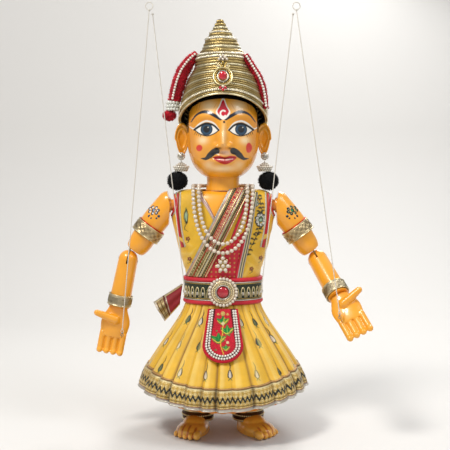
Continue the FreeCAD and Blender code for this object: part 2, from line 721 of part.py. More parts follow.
def upper_arm(side, s, shoulder, elbow):
    """A fat carved limb, hollowed round the shoulder ball, with a tongue for the shoulder pin."""
    end = "(elbow_drop - elbow_radius - elbow_gap)"
    sections = (
        (f"-{end}", "0.72 * elbow_radius", "0.72 * elbow_radius", 0, 0),
        (f"-{end} + 1.2", "0.95 * elbow_radius", "0.95 * elbow_radius", 0, 0),
        (f"-{end} + 4", "1.06 * elbow_radius", "1.06 * elbow_radius", 0, 0),
        (-55, "0.93 * arm_radius", "0.9 * arm_radius", f"{s} * 0.6", 0),
        (-32, "arm_radius", "0.98 * arm_radius", f"{s} * 1.6", 0),
        (-14, "1.01 * arm_radius", "0.98 * arm_radius", f"{s} * 0.8", 0),
        (0, "arm_radius", "0.98 * arm_radius", 0, 0),
        (8, "0.94 * arm_radius", "0.92 * arm_radius", 0, 0),
        (13, "0.78 * arm_radius", "0.76 * arm_radius", 0, 0),
        (17, "0.48 * arm_radius", "0.47 * arm_radius", 0, 0),
        (18.5, "0.22 * arm_radius", "0.21 * arm_radius", 0, 0),
    )
    limb = loft(f"{side}_limb", sections)
    cup = ball(f"{side}_cup", "ball_radius + 0.7")
    reach = size("side_clear_x - shoulder_x")
    clear = []
    for n, lift in enumerate((LIFT_LOW, LIFT_HIGH)):
        wall = place(turn=Rotation(Y, s * (UPPER_ARM_OUT[side] + lift))) * place(s * (reach - 50))
        clear.append(block(f"{side}_wall_{n}", 100, 100, 200, wall))
    tab_room = shoulder.inverse() * elbow * place(z="elbow_radius + 4.8")
    pocket = block(f"{side}_tab_pocket", "tab_thick + 2 * set_gap", "2 * (tab_half + set_gap)", 10, tab_room)
    hollowed = cut(f"{side}_limb_cut", limb, cup, *clear)
    tongue = fuse(
        f"{side}_tongue",
        block(f"{side}_tongue_web", 9, 4, "ball_radius + 5", place(z="-(ball_radius + 5) / 2")),
        rod(f"{side}_tongue_round", 4.5, 4, Placement(Vector(), Rotation(X, 90))),
    )
    pin_hole = rod(f"{side}_tongue_hole", "pin_radius + run_gap", 20, Placement(Vector(), Rotation(X, 90)))
    solid = fuse(f"{side}_upper_solid", hollowed, tongue)
    keep(cut(f"{side}_upper_arm_body", solid, pin_hole, pocket, at=shoulder), f"{side}_upper_arm")

    keep(band(f"{side}_armlet", "armlet_radius", "armlet_high", "armlet_radius - 2.2",
              shoulder * place(f"{s} * 1.1", 0, "-armlet_drop")), f"{side}_armlet")


def band(name, radius, high, bore, at):
    """A pressed metal ring with a bead along each edge and a raised middle."""
    half = f"({high}) / 2"
    profile = ((bore, f"-{half}"), (radius, f"-{half}"), (radius, f"-{half} + 2"),
               (f"({radius}) - 0.9", f"-{half} + 2.8"),
               (f"({radius}) - 0.9", f"{half} - 2.8"), (radius, f"{half} - 2"), (radius, half), (bore, half))
    return turned(name + "_band", profile, at)


def elbow_tab(side, elbow):
    """A thin metal tab let into the upper arm, on which the forearm hangs."""
    web = block(f"{side}_tab_web", "tab_thick", "2 * tab_half", "elbow_radius + 9.5",
                place(z="(elbow_radius + 9.5) / 2"))
    foot = rod(f"{side}_tab_round", "tab_half", "tab_thick", Placement(Vector(), Rotation(Y, 90)))
    hole = rod(f"{side}_tab_hole", "pin_radius + run_gap", 10, Placement(Vector(), Rotation(Y, 90)))
    keep(cut(f"{side}_tab_body", fuse(f"{side}_tab", web, foot), hole, at=elbow), f"{side}_elbow_tab")


def forearm_piece(side, forearm):
    top = ball(f"{side}_forearm_top", "elbow_radius")
    limb = feature("Cone", f"{side}_forearm_limb", place(z="-wrist_drop"), Radius1="wrist_radius",
                   Radius2="elbow_radius", Height="wrist_drop")
    slot = block(f"{side}_elbow_slot", "tab_thick + 0.6", "30 + tab_half + 0.4", 40,
                 place(0, "(tab_half + 0.4 - 30) / 2", "20 - tab_half - 0.5"))
    pin_bore = rod(f"{side}_elbow_bore", "pin_radius + set_gap", 40, Placement(Vector(), Rotation(Y, 90)))
    socket = rod(f"{side}_wrist_socket", "tenon_radius + set_gap", "2 * (tenon_long + 1)",
                 place(z="-wrist_drop"))
    solid = fuse(f"{side}_forearm_solid", top, limb)
    keep(cut(f"{side}_forearm_body", solid, slot, pin_bore, socket, at=forearm), f"{side}_forearm")
    pin = rod(f"{side}_elbow_pin_body", "pin_radius", "2 * elbow_radius + 0.6",
              forearm * place(turn=Rotation(Y, 90)))
    keep(pin, f"{side}_elbow_pin")
    keep(band(f"{side}_bracelet", "bracelet_radius", "bracelet_high", "bracelet_radius - 2.2",
              forearm * place(z="-bracelet_drop")), f"{side}_bracelet")


def hand_piece(side, s, hand):
    """A carved open hand, palm forward, thumb out to the side, with a round tenon for the wrist."""
    tenon = rod(f"{side}_tenon", "tenon_radius", "tenon_long + 2", place(z="tenon_long / 2 - 1"))
    sections = (
        ("-palm_long", "0.97 * palm_wide", "0.8 * palm_thick", 0, 0),
        ("-0.72 * palm_long", "palm_wide", "palm_thick", 0, 0),
        ("-0.4 * palm_long", "0.98 * palm_wide", "palm_thick", 0, 0),
        ("-0.15 * palm_long", "0.74 * palm_wide", "palm_thick", 0, 0),
        (-0.6, "0.66 * palm_wide", "1.1 * palm_thick", 0, 0),
    )
    palm = loft(f"{side}_palm", sections)
    fingers = []
    for n in range(4):
        across = f"({n} - 1.5) * 2.18 * finger_radius"
        finger = rod(f"{side}_finger_{n}", "finger_radius", "finger_long + 6",
                     place(across, -0.6, "-palm_long - finger_long / 2 + 3", Rotation(X, 4)))
        tip = ball(f"{side}_fingertip_{n}", "finger_radius",
                   place(across, -1.4, "-palm_long - finger_long + 0.4", Rotation(X, 4)))
        fingers += [finger, tip]
    root = Vector(0, -6.5, -size("0.42 * palm_long"))
    point = Vector(s * 1.0, -0.22, 0.2)
    thumb = feature("Cone", f"{side}_thumb", Placement(root, along(point)), Radius1=6.6, Radius2=4.2,
                    Height="thumb_long")
    thumb_tip = ball(f"{side}_thumb_tip", 4.2, Placement(root + point.normalize() * size("thumb_long"),
                                                         Rotation()))
    thumb_root = ball(f"{side}_thumb_root", 6.6, Placement(root, Rotation()))
    solid = fuse(f"{side}_hand_solid", tenon, palm, *fingers, thumb, thumb_root, thumb_tip)
    shank_bore = rod(f"{side}_shank_bore", "link_wire + 0.15", 20, Placement(eye_spot(s), Rotation(X, 90)))
    keep(cut(f"{side}_hand_body", solid, shank_bore, at=hand), f"{side}_hand")


def eye_spot(s):
    """Where the string's screw eye stands on the palm, in the hand's frame."""
    return Vector(-s * 13.0, -size("palm_thick + link_radius + 2.5"), -size("0.9 * palm_long"))


def string(name, foot, top, *ends):
    """A cord with a ring knot at its foot and a knot at its top, where a finger loop may be."""
    lowest = ring(name + "_foot_ring", "link_radius", "link_wire", Placement(foot, Rotation(X, 90)))
    way = top - foot
    start = foot + way * (size("link_radius") / way.Length)
    cord_way = top - start
    cord = feature("Cylinder", name + "_cord", Placement(start, along(cord_way)), Radius="string_radius",
                   Height=cord_way.Length)
    low_knot = ball(name + "_low_knot", "0.8 * knot_radius",
                    Placement(foot + way * (size("link_radius + knot_radius") / way.Length), Rotation()))
    knot = ball(name + "_knot", "knot_radius", Placement(top, Rotation()))
    return fuse(name + "_body", lowest, cord, low_knot, knot, *ends)


def hand_string(side, s, hand, elbow):
    """A screw eye in the palm, two links and the string, each hung in the one before."""
    spot = eye_spot(s)
    eye_at = hand.multVec(spot)
    eye = fuse(
        f"{side}_eye",
        ring(f"{side}_eye_ring", "link_radius", "link_wire",
             Placement(eye_at, elbow.Rotation * Rotation(Y, 90))),
        rod(f"{side}_eye_shank", "link_wire + 0.1", 8,
            Placement(hand.multVec(spot + Vector(0, size("link_radius") + 3.9, 0)),
                      hand.Rotation * Rotation(X, 90))),
    )
    keep(eye, f"{side}_palm_eye")

    top = Vector(s * 91.0, -84.0, 549.0)
    step = size("link_step")
    ring_at = eye_at + elbow.Rotation.multVec(Z) * step
    keep(ring(f"{side}_string_ring_body", "link_radius", "link_wire", Placement(ring_at, Rotation(X, 90))),
         f"{side}_string_ring")
    flat = Vector(top.x - ring_at.x, 0, top.z - ring_at.z).normalize()
    hitch_at = ring_at + flat * step
    keep(ring(f"{side}_string_hitch_body", "link_radius", "link_wire", Placement(hitch_at, Rotation(Y, 90))),
         f"{side}_string_hitch")
    upright = Vector(0, top.y - hitch_at.y, top.z - hitch_at.z).normalize()
    loop = ring(f"{side}_string_loop", "loop_radius", "string_radius",
                Placement(top + Vector(0, 0, size("loop_radius + string_radius")), Rotation(X, 90)))
    keep(string(f"{side}_hand_string", hitch_at + upright * step, top, loop), f"{side}_hand_string")
    PIVOTS[f"{side}_string_loop"] = loop.Placement.Base
    return eye_at, ring_at, hitch_at


def waist_strings():
    eyes = []
    for side, s in SIDES.items():
        at = Vector(s * 50.5, -20.5, 186.0)
        eye = ring(f"{side}_waist_eye", "link_radius", "link_wire", Placement(at, Rotation(Y, 90)))
        shank_way = Vector(-s * 0.55, 1, 0)
        shank = feature("Cylinder", f"{side}_waist_shank",
                        Placement(at + shank_way.normalize() * size("link_radius"), along(shank_way)),
                        Radius="link_wire + 0.1", Height=6)
        eyes.append(cut(f"{side}_waist_eye_clear", fuse(f"{side}_waist_eye_solid", eye, shank),
                        waist_oval(f"{side}_eye_belt", 0.02)))
        top = Vector(s * 87.2, -79.4, 545.0)
        upright = Vector(0, top.y - at.y, top.z - at.z).normalize()
        keep(string(f"{side}_waist_string", at + upright * size("link_step"), top), f"{side}_waist_string")
        PIVOTS[f"{side}_waist_eye"] = at
    keep(group("waist_eyes_body", *eyes), "waist_string_eyes")


def arms():
    for side, s in SIDES.items():
        shoulder, elbow, forearm, hand = arm_frames(side)
        shoulder_knuckle(side, s)
        upper_arm(side, s, shoulder, elbow)
        elbow_tab(side, elbow)
        forearm_piece(side, forearm)
        hand_piece(side, s, hand)
        eye_at, ring_at, hitch_at = hand_string(side, s, hand, elbow)
        PIVOTS.update({f"{side}_shoulder": shoulder.Base, f"{side}_elbow": elbow.Base,
                       f"{side}_elbow_axis": elbow.Rotation.multVec(-X), f"{side}_eye": eye_at,
                       f"{side}_ring": ring_at, f"{side}_hitch": hitch_at})


# ---- Legs ----------------------------------------------------------------------------------------
def legs():
    for side, s in SIDES.items():
        hip = place(f"{s} * leg_x", 0, "hip_z")
        knee = place(f"{s} * leg_x", 0, "knee_z")
        thigh_long = "(hip_z - knee_z - shin_radius - 1.5)"
        thigh = fuse(
            f"{side}_thigh_solid",
            ball(f"{side}_thigh_top", "thigh_radius"),
            feature("Cone", f"{side}_thigh_limb", place(z=f"-{thigh_long}"), Radius1="shin_radius + 1",
                    Radius2="thigh_radius", Height=thigh_long),
        )
        slot = block(f"{side}_thigh_slot", "lug_thick + 0.6", 60, 60, place(z="30 - lug_half - 0.6"))
        rod_hole = rod(f"{side}_thigh_hole", "leg_rod_radius + run_gap", 60,
                       Placement(Vector(), Rotation(Y, 90)))
        lug = fuse(
            f"{side}_knee_lug",
            block(f"{side}_knee_web", "lug_thick", "2 * lug_half - 2", "shin_radius + 7",
                  place(z="-(hip_z - knee_z) + (shin_radius + 7) / 2")),
            rod(f"{side}_knee_round", "lug_half - 1", "lug_thick",
                place(z="-(hip_z - knee_z)", turn=Rotation(Y, 90))),
        )
        knee_hole = rod(f"{side}_knee_hole", "leg_rod_radius + run_gap", 40,
                        place(z="-(hip_z - knee_z)", turn=Rotation(Y, 90)))
        with_slot = cut(f"{side}_thigh_slotted", thigh, slot, rod_hole)
        keep(cut(f"{side}_thigh_body", fuse(f"{side}_thigh_lugged", with_slot, lug), knee_hole, at=hip),
             f"{side}_thigh")
        keep(rod(f"{side}_knee_pin_body", "leg_rod_radius", "2 * shin_radius - 0.6",
                 knee * place(turn=Rotation(Y, 90))),
             f"{side}_knee_pin")

        foot_turn = Rotation(Z, s * TOES_OUT[side])
        shin = fuse(
            f"{side}_shin_solid",
            ball(f"{side}_shin_top", "shin_radius"),
            feature("Cone", f"{side}_shin_limb", place(z="-knee_z + 8"), Radius1="ankle_radius",
                    Radius2="shin_radius", Height="knee_z - 8"),
        )
        slot = block(f"{side}_knee_slot", "lug_thick + 0.6", 60, 60, place(z="30 - lug_half + 0.4"))
        pin_bore = rod(f"{side}_knee_bore", "leg_rod_radius + set_gap", 60,
                       Placement(Vector(), Rotation(Y, 90)))
        shin_cut = cut(f"{side}_shin_cut", shin, slot, pin_bore)
        sections = (
            (0, "foot_long / 2", "0.96 * foot_wide", 0, 0),
            (4, "foot_long / 2", "foot_wide", 0, 0),
            (10, "0.94 * foot_long / 2", "0.94 * foot_wide", -1, 0),
            (17, "0.62 * foot_long / 2", "0.8 * foot_wide", -11, 0),
        )
        sole = loft(f"{side}_foot", sections,
                    at=place(z="-knee_z", turn=foot_turn) * place(0, "18 - foot_long / 2",
                                                                  turn=Rotation(Z, -90)),
                    ruled=True)
        keep(fuse(f"{side}_lower_leg_body", shin_cut, sole, at=knee), f"{side}_lower_leg")
        PIVOTS[f"{side}_sole"] = (knee * sole.Placement).Base
        keep(band(f"{side}_anklet", "anklet_radius", "anklet_high", "ankle_radius + 1.2",
                  place(f"{s} * leg_x", 0, "anklet_low + anklet_high / 2")), f"{side}_anklet")


# ---- Build, check and write ----------------------------------------------------------------------
PIVOTS = {}

torso()
vest()
sash()
belt()
skirts()
apron()
necklaces()
head()
crown()
garlands()
earrings()
arms()
waist_strings()
legs()
doc.recompute()

for thing in doc.Objects:
    if {"Invalid", "Error"} & set(thing.State):
        raise RuntimeError(f"{thing.Name} failed: {thing.State}")
for made in subparts:
    if made.Shape.isNull() or not made.Shape.isValid() or not made.Shape.Solids:
        raise RuntimeError(f"{made.Label} has no valid solid")

# The frame starts on the floor under the middle of the whole puppet, whose left hand reaches out the further.
reach = FreeCAD.BoundBox()
for made in subparts:
    if made.Label in ("left_hand", "right_hand", "skirt_border"):
        reach.add(made.Shape.optimalBoundingBox(True, False))
shift = Vector(-reach.Center.x, -reach.Center.y, 0)

os.makedirs("parts", exist_ok=True)
for made in subparts:
    placed = made.Shape.copy()
    placed.translate(shift)
    placed.exportStep(f"parts/{made.Label}.step")
print(len(subparts), "sub-parts")
for name, spot in PIVOTS.items():
    if not name.endswith("_axis"):
        spot = spot + shift
    print(f"{name}: {spot.x:.4f} {spot.y:.4f} {spot.z:.4f}")
print(f"body_middle: {shift.x:.4f} {shift.y:.4f} 0")
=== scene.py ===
"""Looks for a carved and painted string puppet. Shapes are worked out in millimetres and made in metres.

The puppet faces -Y. An angle round the body starts at the front and grows towards +X, the puppet's left.
"""

import json
import math

import bmesh
import bpy
import numpy as np
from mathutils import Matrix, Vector
from mathutils.bvhtree import BVHTree


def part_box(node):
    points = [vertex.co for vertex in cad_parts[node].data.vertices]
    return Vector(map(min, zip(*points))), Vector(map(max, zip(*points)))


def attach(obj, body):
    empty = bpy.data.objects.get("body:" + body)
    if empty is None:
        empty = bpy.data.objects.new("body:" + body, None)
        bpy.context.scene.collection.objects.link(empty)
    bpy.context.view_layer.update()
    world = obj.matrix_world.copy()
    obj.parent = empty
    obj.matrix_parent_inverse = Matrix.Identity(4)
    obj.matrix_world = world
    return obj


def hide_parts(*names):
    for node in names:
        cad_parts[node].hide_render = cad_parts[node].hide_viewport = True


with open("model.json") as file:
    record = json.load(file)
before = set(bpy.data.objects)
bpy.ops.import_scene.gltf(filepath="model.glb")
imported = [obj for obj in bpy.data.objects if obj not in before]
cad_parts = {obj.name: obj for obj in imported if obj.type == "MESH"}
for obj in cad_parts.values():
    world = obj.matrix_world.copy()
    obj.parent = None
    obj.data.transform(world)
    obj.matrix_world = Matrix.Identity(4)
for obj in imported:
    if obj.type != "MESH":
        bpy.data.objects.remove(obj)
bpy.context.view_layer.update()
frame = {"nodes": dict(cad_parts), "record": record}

chance = np.random.default_rng(7)
NODES = frame["nodes"]
SIDES = {"right": -1, "left": 1}
MM = 0.001


# ---- Colours and flat painting -------------------------------------------------------------------
def tone(code, metal=0.0):
    """A linear colour from a hex code, with the share of metal thread in it as the fourth number."""
    parts = [int(code[i:i + 2], 16) / 255 for i in (0, 2, 4)]
    linear = [c / 12.92 if c < 0.04045 else ((c + 0.055) / 1.055) ** 2.4 for c in parts]
    return np.array(linear + [metal])


def shaded(colour, share):
    """A colour made darker or brighter, with the same metal in it."""
    return colour * [share, share, share, 1]


SKIN = tone("f2a423")
BLACK = tone("0b0c10")
NAVY = tone("10182a")
WHITE = tone("f4efe4")
RED = tone("c9102a")
YELLOW = tone("e9b727")
GOLD = tone("c9a85c", 0.85)
PALE_GOLD = tone("e3d3a0", 0.8)
SILVER = tone("c9c3b6", 0.75)
GREEN = tone("12401f")
LEAF = tone("1f8a4a")
PEARL = tone("d8ccb8")


def smooth(x, low, high):
    """0 below low, 1 above high and a soft step between them."""
    share = np.clip((x - low) / (high - low), 0, 1)
    return share * share * (3 - 2 * share)


def circle(count):
    """Angles spaced evenly round one turn."""
    return np.linspace(0, 2 * math.pi, count, endpoint=False)


def curve(points, count=40, closed=False):
    """A smooth line through points of any dimension."""
    points = np.asarray(points, float)
    if closed:
        points = np.vstack([points[-1], points, points[:2]])
    else:
        points = np.vstack([2 * points[0] - points[1], points, 2 * points[-1] - points[-2]])
    spans = len(points) - 3
    out = []
    for step in np.linspace(0, spans, count, endpoint=not closed):
        i = min(int(step), spans - 1)
        f = step - i
        a, b, c, d = points[i:i + 4]
        square, cube = 2 * a - 5 * b + 4 * c - d, 3 * b - a - 3 * c + d
        out.append(0.5 * (2 * b + (c - a) * f + square * f**2 + cube * f**3))
    return np.array(out)


def distance(spots, path):
    """Distance of each spot from a line of points, and how far along the line that is, from 0 to 1."""
    best = np.full(len(spots), 1e9)
    where = np.zeros(len(spots))
    for i, (a, b) in enumerate(zip(path, path[1:])):
        way = b - a
        f = np.clip(((spots - a) @ way) / max(way @ way, 1e-9), 0, 1)
        gap = np.linalg.norm(spots - a - f[:, None] * way, axis=1)
        nearer = gap < best
        best[nearer] = gap[nearer]
        where[nearer] = (i + f[nearer]) / (len(path) - 1)
    return best, where


def stroke(spots, path, width, taper=(1.0, 1.0), soft=0.25):
    """How much of a brush stroke covers each spot. The taper is the share of the width at each end."""
    gap, where = distance(spots, path)
    wide = width / 2 * np.interp(where, [0, 0.5, 1], [taper[0], 1, taper[1]])
    return 1 - smooth(gap, wide - soft, wide + soft)


def filled(spots, outline, soft=0.25):
    """How much of a closed outline covers each spot."""
    ring = np.vstack([outline, outline[:1]])
    gap, _ = distance(spots, ring)
    crossings = np.zeros(len(spots), bool)
    for a, b in zip(ring, ring[1:]):
        spans = (a[1] > spots[:, 1]) != (b[1] > spots[:, 1])
        if a[1] != b[1]:
            crossings ^= spans & (spots[:, 0] < (b[0] - a[0]) * (spots[:, 1] - a[1]) / (b[1] - a[1]) + a[0])
    signed = np.where(crossings, -gap, gap)
    return 1 - smooth(signed, -soft, soft)


def disc(spots, x, z, radius, soft=0.25):
    """How much of a round dot covers each spot."""
    return 1 - smooth(np.hypot(spots[:, 0] - x, spots[:, 1] - z), radius - soft, radius + soft)


def lay(paint, mask, colour):
    """Lays a colour over the paint where the mask is."""
    paint += (colour - paint) * np.asarray(mask)[..., None]


# ---- Meshes --------------------------------------------------------------------------------------
class Form:
    """Gathers surfaces, in millimetres, that become one object."""

    def __init__(self, colour=SKIN):
        self.points, self.faces, self.paint, self.slots = [], [], [], []
        self.count = 0
        self.colour = colour

    def add(self, points, faces, paint=None, slot=0):
        points = np.asarray(points, float).reshape(-1, 3)
        paint = self.colour if paint is None else np.asarray(paint, float)
        whole = np.broadcast_to(paint, (len(points), 4)) if paint.ndim == 1 else paint.reshape(-1, 4)
        self.paint.append(whole)
        self.points.append(points)
        self.faces += [tuple(int(i) + self.count for i in face) for face in faces]
        self.slots += [slot] * len(faces)
        self.count += len(points)

    def grid(self, rows, around=False, along=False, ends=False, paint=None, slot=0):
        """A sheet through rows of points. Around closes each row, along joins the last row to the first."""
        rows = np.asarray(rows, float)
        deep, wide = rows.shape[:2]
        index = np.arange(deep * wide).reshape(deep, wide)
        loop = np.hstack([index, index[:, :1]]) if around else index
        loop = np.vstack([loop, loop[:1]]) if along else loop
        square = [loop[:-1, :-1], loop[:-1, 1:], loop[1:, 1:], loop[1:, :-1]]
        faces = np.stack(square, -1).reshape(-1, 4).tolist()
        points = rows.reshape(-1, 3)
        if paint is not None and np.ndim(paint) > 1:
            paint = np.asarray(paint).reshape(-1, 4)
        if ends:
            faces += [index[0].tolist(), index[-1][::-1].tolist()]
        self.add(points, faces, paint, slot)

    def ball(self, centre, radius, stretch=(1, 1, 1), segments=12, paint=None, slot=0, turn=None):
        """A ball, or with a stretch an ellipsoid, which a turn may tilt."""
        rings = max(4, segments // 2)
        up = np.linspace(0, math.pi, rings + 1)[1:-1]
        side = circle(segments)
        shape = np.stack(
            [np.outer(np.sin(up), np.cos(side)), np.outer(np.sin(up), np.sin(side)),
             np.outer(np.cos(up), np.ones(segments))], -1).reshape(-1, 3)
        shape = np.vstack([shape, [[0, 0, 1], [0, 0, -1]]]) * np.array(stretch) * radius
        if turn is not None:
            shape = shape @ np.array(turn).T
        faces = []
        for r in range(rings - 2):
            for i in range(segments):
                j = (i + 1) % segments
                upper, lower = r * segments, (r + 1) * segments
                faces.append((upper + i, upper + j, lower + j, lower + i))
        top, low, last = (rings - 1) * segments, (rings - 1) * segments + 1, (rings - 2) * segments
        for i in range(segments):
            j = (i + 1) % segments
            faces.append((top, j, i))
            faces.append((low, last + i, last + j))
        self.add(shape + np.asarray(centre), faces, paint, slot)

    def tube(self, path, radius, sides=8, closed=False, flat=1.0, paint=None, slot=0, face=None):
        """A round cord along a path. Flat squeezes it towards the direction face."""
        path = np.asarray(path, float)
        count = len(path)
        if closed:
            tangent = np.roll(path, -1, 0) - np.roll(path, 1, 0)
        else:
            tangent = np.gradient(path, axis=0)
        tangent /= np.linalg.norm(tangent, axis=1)[:, None]
        guide = np.array([0.0, 0.0, 1.0]) if face is None else np.asarray(face, float)
        guide = np.broadcast_to(guide, path.shape)
        across = np.cross(tangent, guide)
        weak = np.linalg.norm(across, axis=1) < 1e-3
        across[weak] = np.cross(tangent[weak], [1.0, 0.0, 0.0])
        across /= np.linalg.norm(across, axis=1)[:, None]
        normal = np.cross(across, tangent)
        radius = np.broadcast_to(np.asarray(radius, float), (count,))
        turn = circle(sides)
        rows = (path[:, None] + radius[:, None, None] * (np.cos(turn)[None, :, None] * across[:, None]
                + flat * np.sin(turn)[None, :, None] * normal[:, None]))
        if paint is not None and np.ndim(paint) == 2:
            paint = np.repeat(np.asarray(paint)[:, None], sides, 1)
        self.grid(rows, around=True, along=closed, ends=not closed, paint=paint, slot=slot)

    def ring(self, centre, normal, radius, wire, segments=32, sides=8, flat=1.0, paint=None, slot=0):
        x, y = plane(normal)
        turn = circle(segments)
        path = np.asarray(centre) + radius * (np.outer(np.cos(turn), x) + np.outer(np.sin(turn), y))
        self.tube(path, wire, sides, closed=True, flat=flat, paint=paint, slot=slot, face=normal)

    def beads(self, centre, radius, count, size, facing=False, shift=0.0, **look):
        """Balls in a ring that lies flat, or that faces forward."""
        for turn in circle(count) + shift:
            x, y = radius * math.cos(turn), radius * math.sin(turn)
            self.ball(np.asarray(centre) + ([x, 0, y] if facing else [x, y, 0]), size, **look)

    def lathe(self, profile, centre, axis=(0, 0, 1), segments=32, paint=None, slot=0):
        """A turned shape from (radius, height) points along an axis."""
        x, y = plane(axis)
        z = np.asarray(axis, float) / np.linalg.norm(axis)
        turn = circle(segments)
        rim = np.outer(np.cos(turn), x) + np.outer(np.sin(turn), y)
        rows = [np.asarray(centre) + max(r, 0.01) * rim + high * z for r, high in profile]
        if paint is not None and np.ndim(paint) == 2:
            paint = np.repeat(np.asarray(paint)[:, None], segments, 1)
        self.grid(rows, around=True, ends=True, paint=paint, slot=slot)

    def make(self, name, materials, body, replaces=(), thick=None):
        """The finished object, riding on a CAD body."""
        mesh = bpy.data.meshes.new(name)
        mesh.from_pydata(((np.vstack(self.points) + MIDDLE) * MM).tolist(), [], self.faces)
        attribute = mesh.attributes.new("paint", "FLOAT_COLOR", "POINT")
        attribute.data.foreach_set("color", np.vstack(self.paint).astype(np.float32).ravel())
        materials = materials if isinstance(materials, (list, tuple)) else [materials]
        for material in materials:
            mesh.materials.append(material)
        mesh.polygons.foreach_set("material_index", self.slots)
        mesh.validate()
        tidy = bmesh.new()
        tidy.from_mesh(mesh)
        bmesh.ops.recalc_face_normals(tidy, faces=tidy.faces)
        tidy.to_mesh(mesh)
        tidy.free()
        mesh.polygons.foreach_set("use_smooth", [True] * len(mesh.polygons))
        made = bpy.data.objects.new(name, mesh)
        bpy.context.scene.collection.objects.link(made)
        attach(made, body)
        if replaces:
            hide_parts(*replaces)
        if thick:
            layer = made.modifiers.new("thickness", "SOLIDIFY")
            layer.thickness, layer.offset = thick * MM, 0.0
        return made


def corners(mesh):
    """The corners of a mesh, in millimetres."""
    points = np.empty(len(mesh.vertices) * 3)
    mesh.vertices.foreach_get("co", points)
    return points.reshape(-1, 3) / MM - MIDDLE


def plane(normal):
    """Two directions at right angles to a normal and to each other."""
    z = np.asarray(normal, float) / np.linalg.norm(normal)
    guide = np.array([0.0, 0.0, 1.0]) if abs(z[2]) < 0.9 else np.array([1.0, 0.0, 0.0])
    x = np.cross(guide, z)
    x /= np.linalg.norm(x)
    return x, np.cross(z, x)


TORSO_BOX = np.array(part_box("torso")) / MM
MIDDLE = TORSO_BOX.mean(0) * [1, 1, 0]


def low(node):
    """The lower corner of a CAD node's box."""
    return np.array(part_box(node)[0]) / MM - MIDDLE


def high(node):
    """The upper corner of a CAD node's box."""
    return np.array(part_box(node)[1]) / MM - MIDDLE


def middle(node):
    """The middle of a CAD node's box."""
    return (low(node) + high(node)) / 2


trees = {}


def cast(node, start, way):
    """Where a ray in millimetres first meets a CAD node, or None."""
    if node not in trees:
        mesh = NODES[node].data
        spots = [v.co.copy() for v in mesh.vertices]
        trees[node] = BVHTree.FromPolygons(spots, [tuple(p.vertices) for p in mesh.polygons])
    hit = trees[node].ray_cast(Vector(start + MIDDLE) * MM, Vector(way).normalized())[0]
    return None if hit is None else np.array(hit) / MM - MIDDLE


def polar(r, angle, z):
    """Points at a radius, an angle round the body and a height."""
    return np.stack([r * np.sin(angle), -r * np.cos(angle), z], -1)


def round_body(node, angle, z, proud=0.0, reach=300.0):
    """The point on a CAD node's outside at an angle round the body and a height, standing proud of it."""
    out = np.array([math.sin(angle), -math.cos(angle), 0.0])
    hit = cast(node, np.array([0, 0, z]) + out * reach, -out)
    return None if hit is None else hit + out * proud


# ---- Materials -----------------------------------------------------------------------------------
class Finish:
    """A node material. The colour is the painted attribute, or one given tone for a CAD part."""

    def __init__(self, name, colour=None, rough=0.5, metal=None):
        self.material = bpy.data.materials.new(name)
        self.material.use_nodes = True
        self.tree = self.material.node_tree
        self.bsdf = self.tree.nodes["Principled BSDF"]
        self.height = None
        self.place = self.node("TexCoord").outputs["Object"]
        if colour is None:
            source = self.node("Attribute", attribute_name="paint")
            self.colour, self.metal = source.outputs["Color"], source.outputs["Alpha"]
        else:
            flat = self.node("RGB")
            flat.outputs[0].default_value = (*colour[:3], 1)
            self.colour, self.metal = flat.outputs[0], float(colour[3])
        if metal is not None:
            self.metal = metal
        self.set("Metallic", self.metal)
        self.set("Roughness", rough)

    def node(self, kind, inputs=None, **settings):
        made = self.tree.nodes.new("ShaderNode" + kind)
        for key, value in settings.items():
            setattr(made, key, value)
        for key, value in (inputs or {}).items():
            self.join(value, made.inputs[key])
        return made

    def join(self, value, socket):
        if isinstance(value, bpy.types.NodeSocket):
            self.tree.links.new(value, socket)
        else:
            socket.default_value = value

    def set(self, name, value):
        self.join(value, self.bsdf.inputs[name])

    def math(self, kind, a, b=0.0):
        return self.node("Math", {0: a, 1: b}, operation=kind).outputs[0]

    def noise(self, scale, detail=3.0, rough=0.6, place=None):
        return self.node("TexNoise", {"Vector": place or self.place, "Scale": scale, "Detail": detail,
                                      "Roughness": rough}).outputs["Fac"]

    def stretch(self, x, y, z):
        """Coordinates stretched along the axes, so that a pattern runs in streaks."""
        return self.node("Mapping", {"Vector": self.place, "Scale": (x, y, z)}).outputs[0]

    def waves(self, scale, direction="X", distort=0.0):
        return self.node("TexWave", {"Vector": self.place, "Scale": scale, "Distortion": distort,
                                     "Detail": 1.0},
                         wave_type="BANDS", bands_direction=direction).outputs["Fac"]

    def vary(self, fac, dark, bright):
        """The colour scaled between two strengths by a pattern."""
        scale = self.node("MapRange", {"Value": fac, "From Min": 0.3, "From Max": 0.7, "To Min": dark,
                                       "To Max": bright}).outputs[0]
        mixed = self.node("VectorMath", {0: self.colour, 3: scale}, operation="SCALE").outputs[0]
        self.colour = mixed

    def tint(self, fac, colour):
        mix = self.node("Mix", {0: fac, 6: self.colour, 7: (*colour[:3], 1)}, data_type="RGBA")
        self.colour = mix.outputs[2]

    def dull(self, pattern, least, most):
        """Roughness between two values by a pattern."""
        scale = {"Value": pattern, "To Min": least, "To Max": most}
        self.set("Roughness", self.node("MapRange", scale).outputs[0])

    def raise_by(self, height, strength, depth):
        """Adds a bump of a depth in metres on top of those before it."""
        bump = self.node("Bump", {"Height": height, "Strength": strength, "Distance": depth})
        if self.height is not None:
            self.join(self.height, bump.inputs["Normal"])
        self.height = bump.outputs[0]

    def ready(self, **settings):
        self.set("Base Color", self.colour)
        if self.height is not None:
            self.set("Normal", self.height)
        for key, value in settings.items():
            self.set(key.replace("_", " ").title().replace("Ior", "IOR"), value)
        return self.material


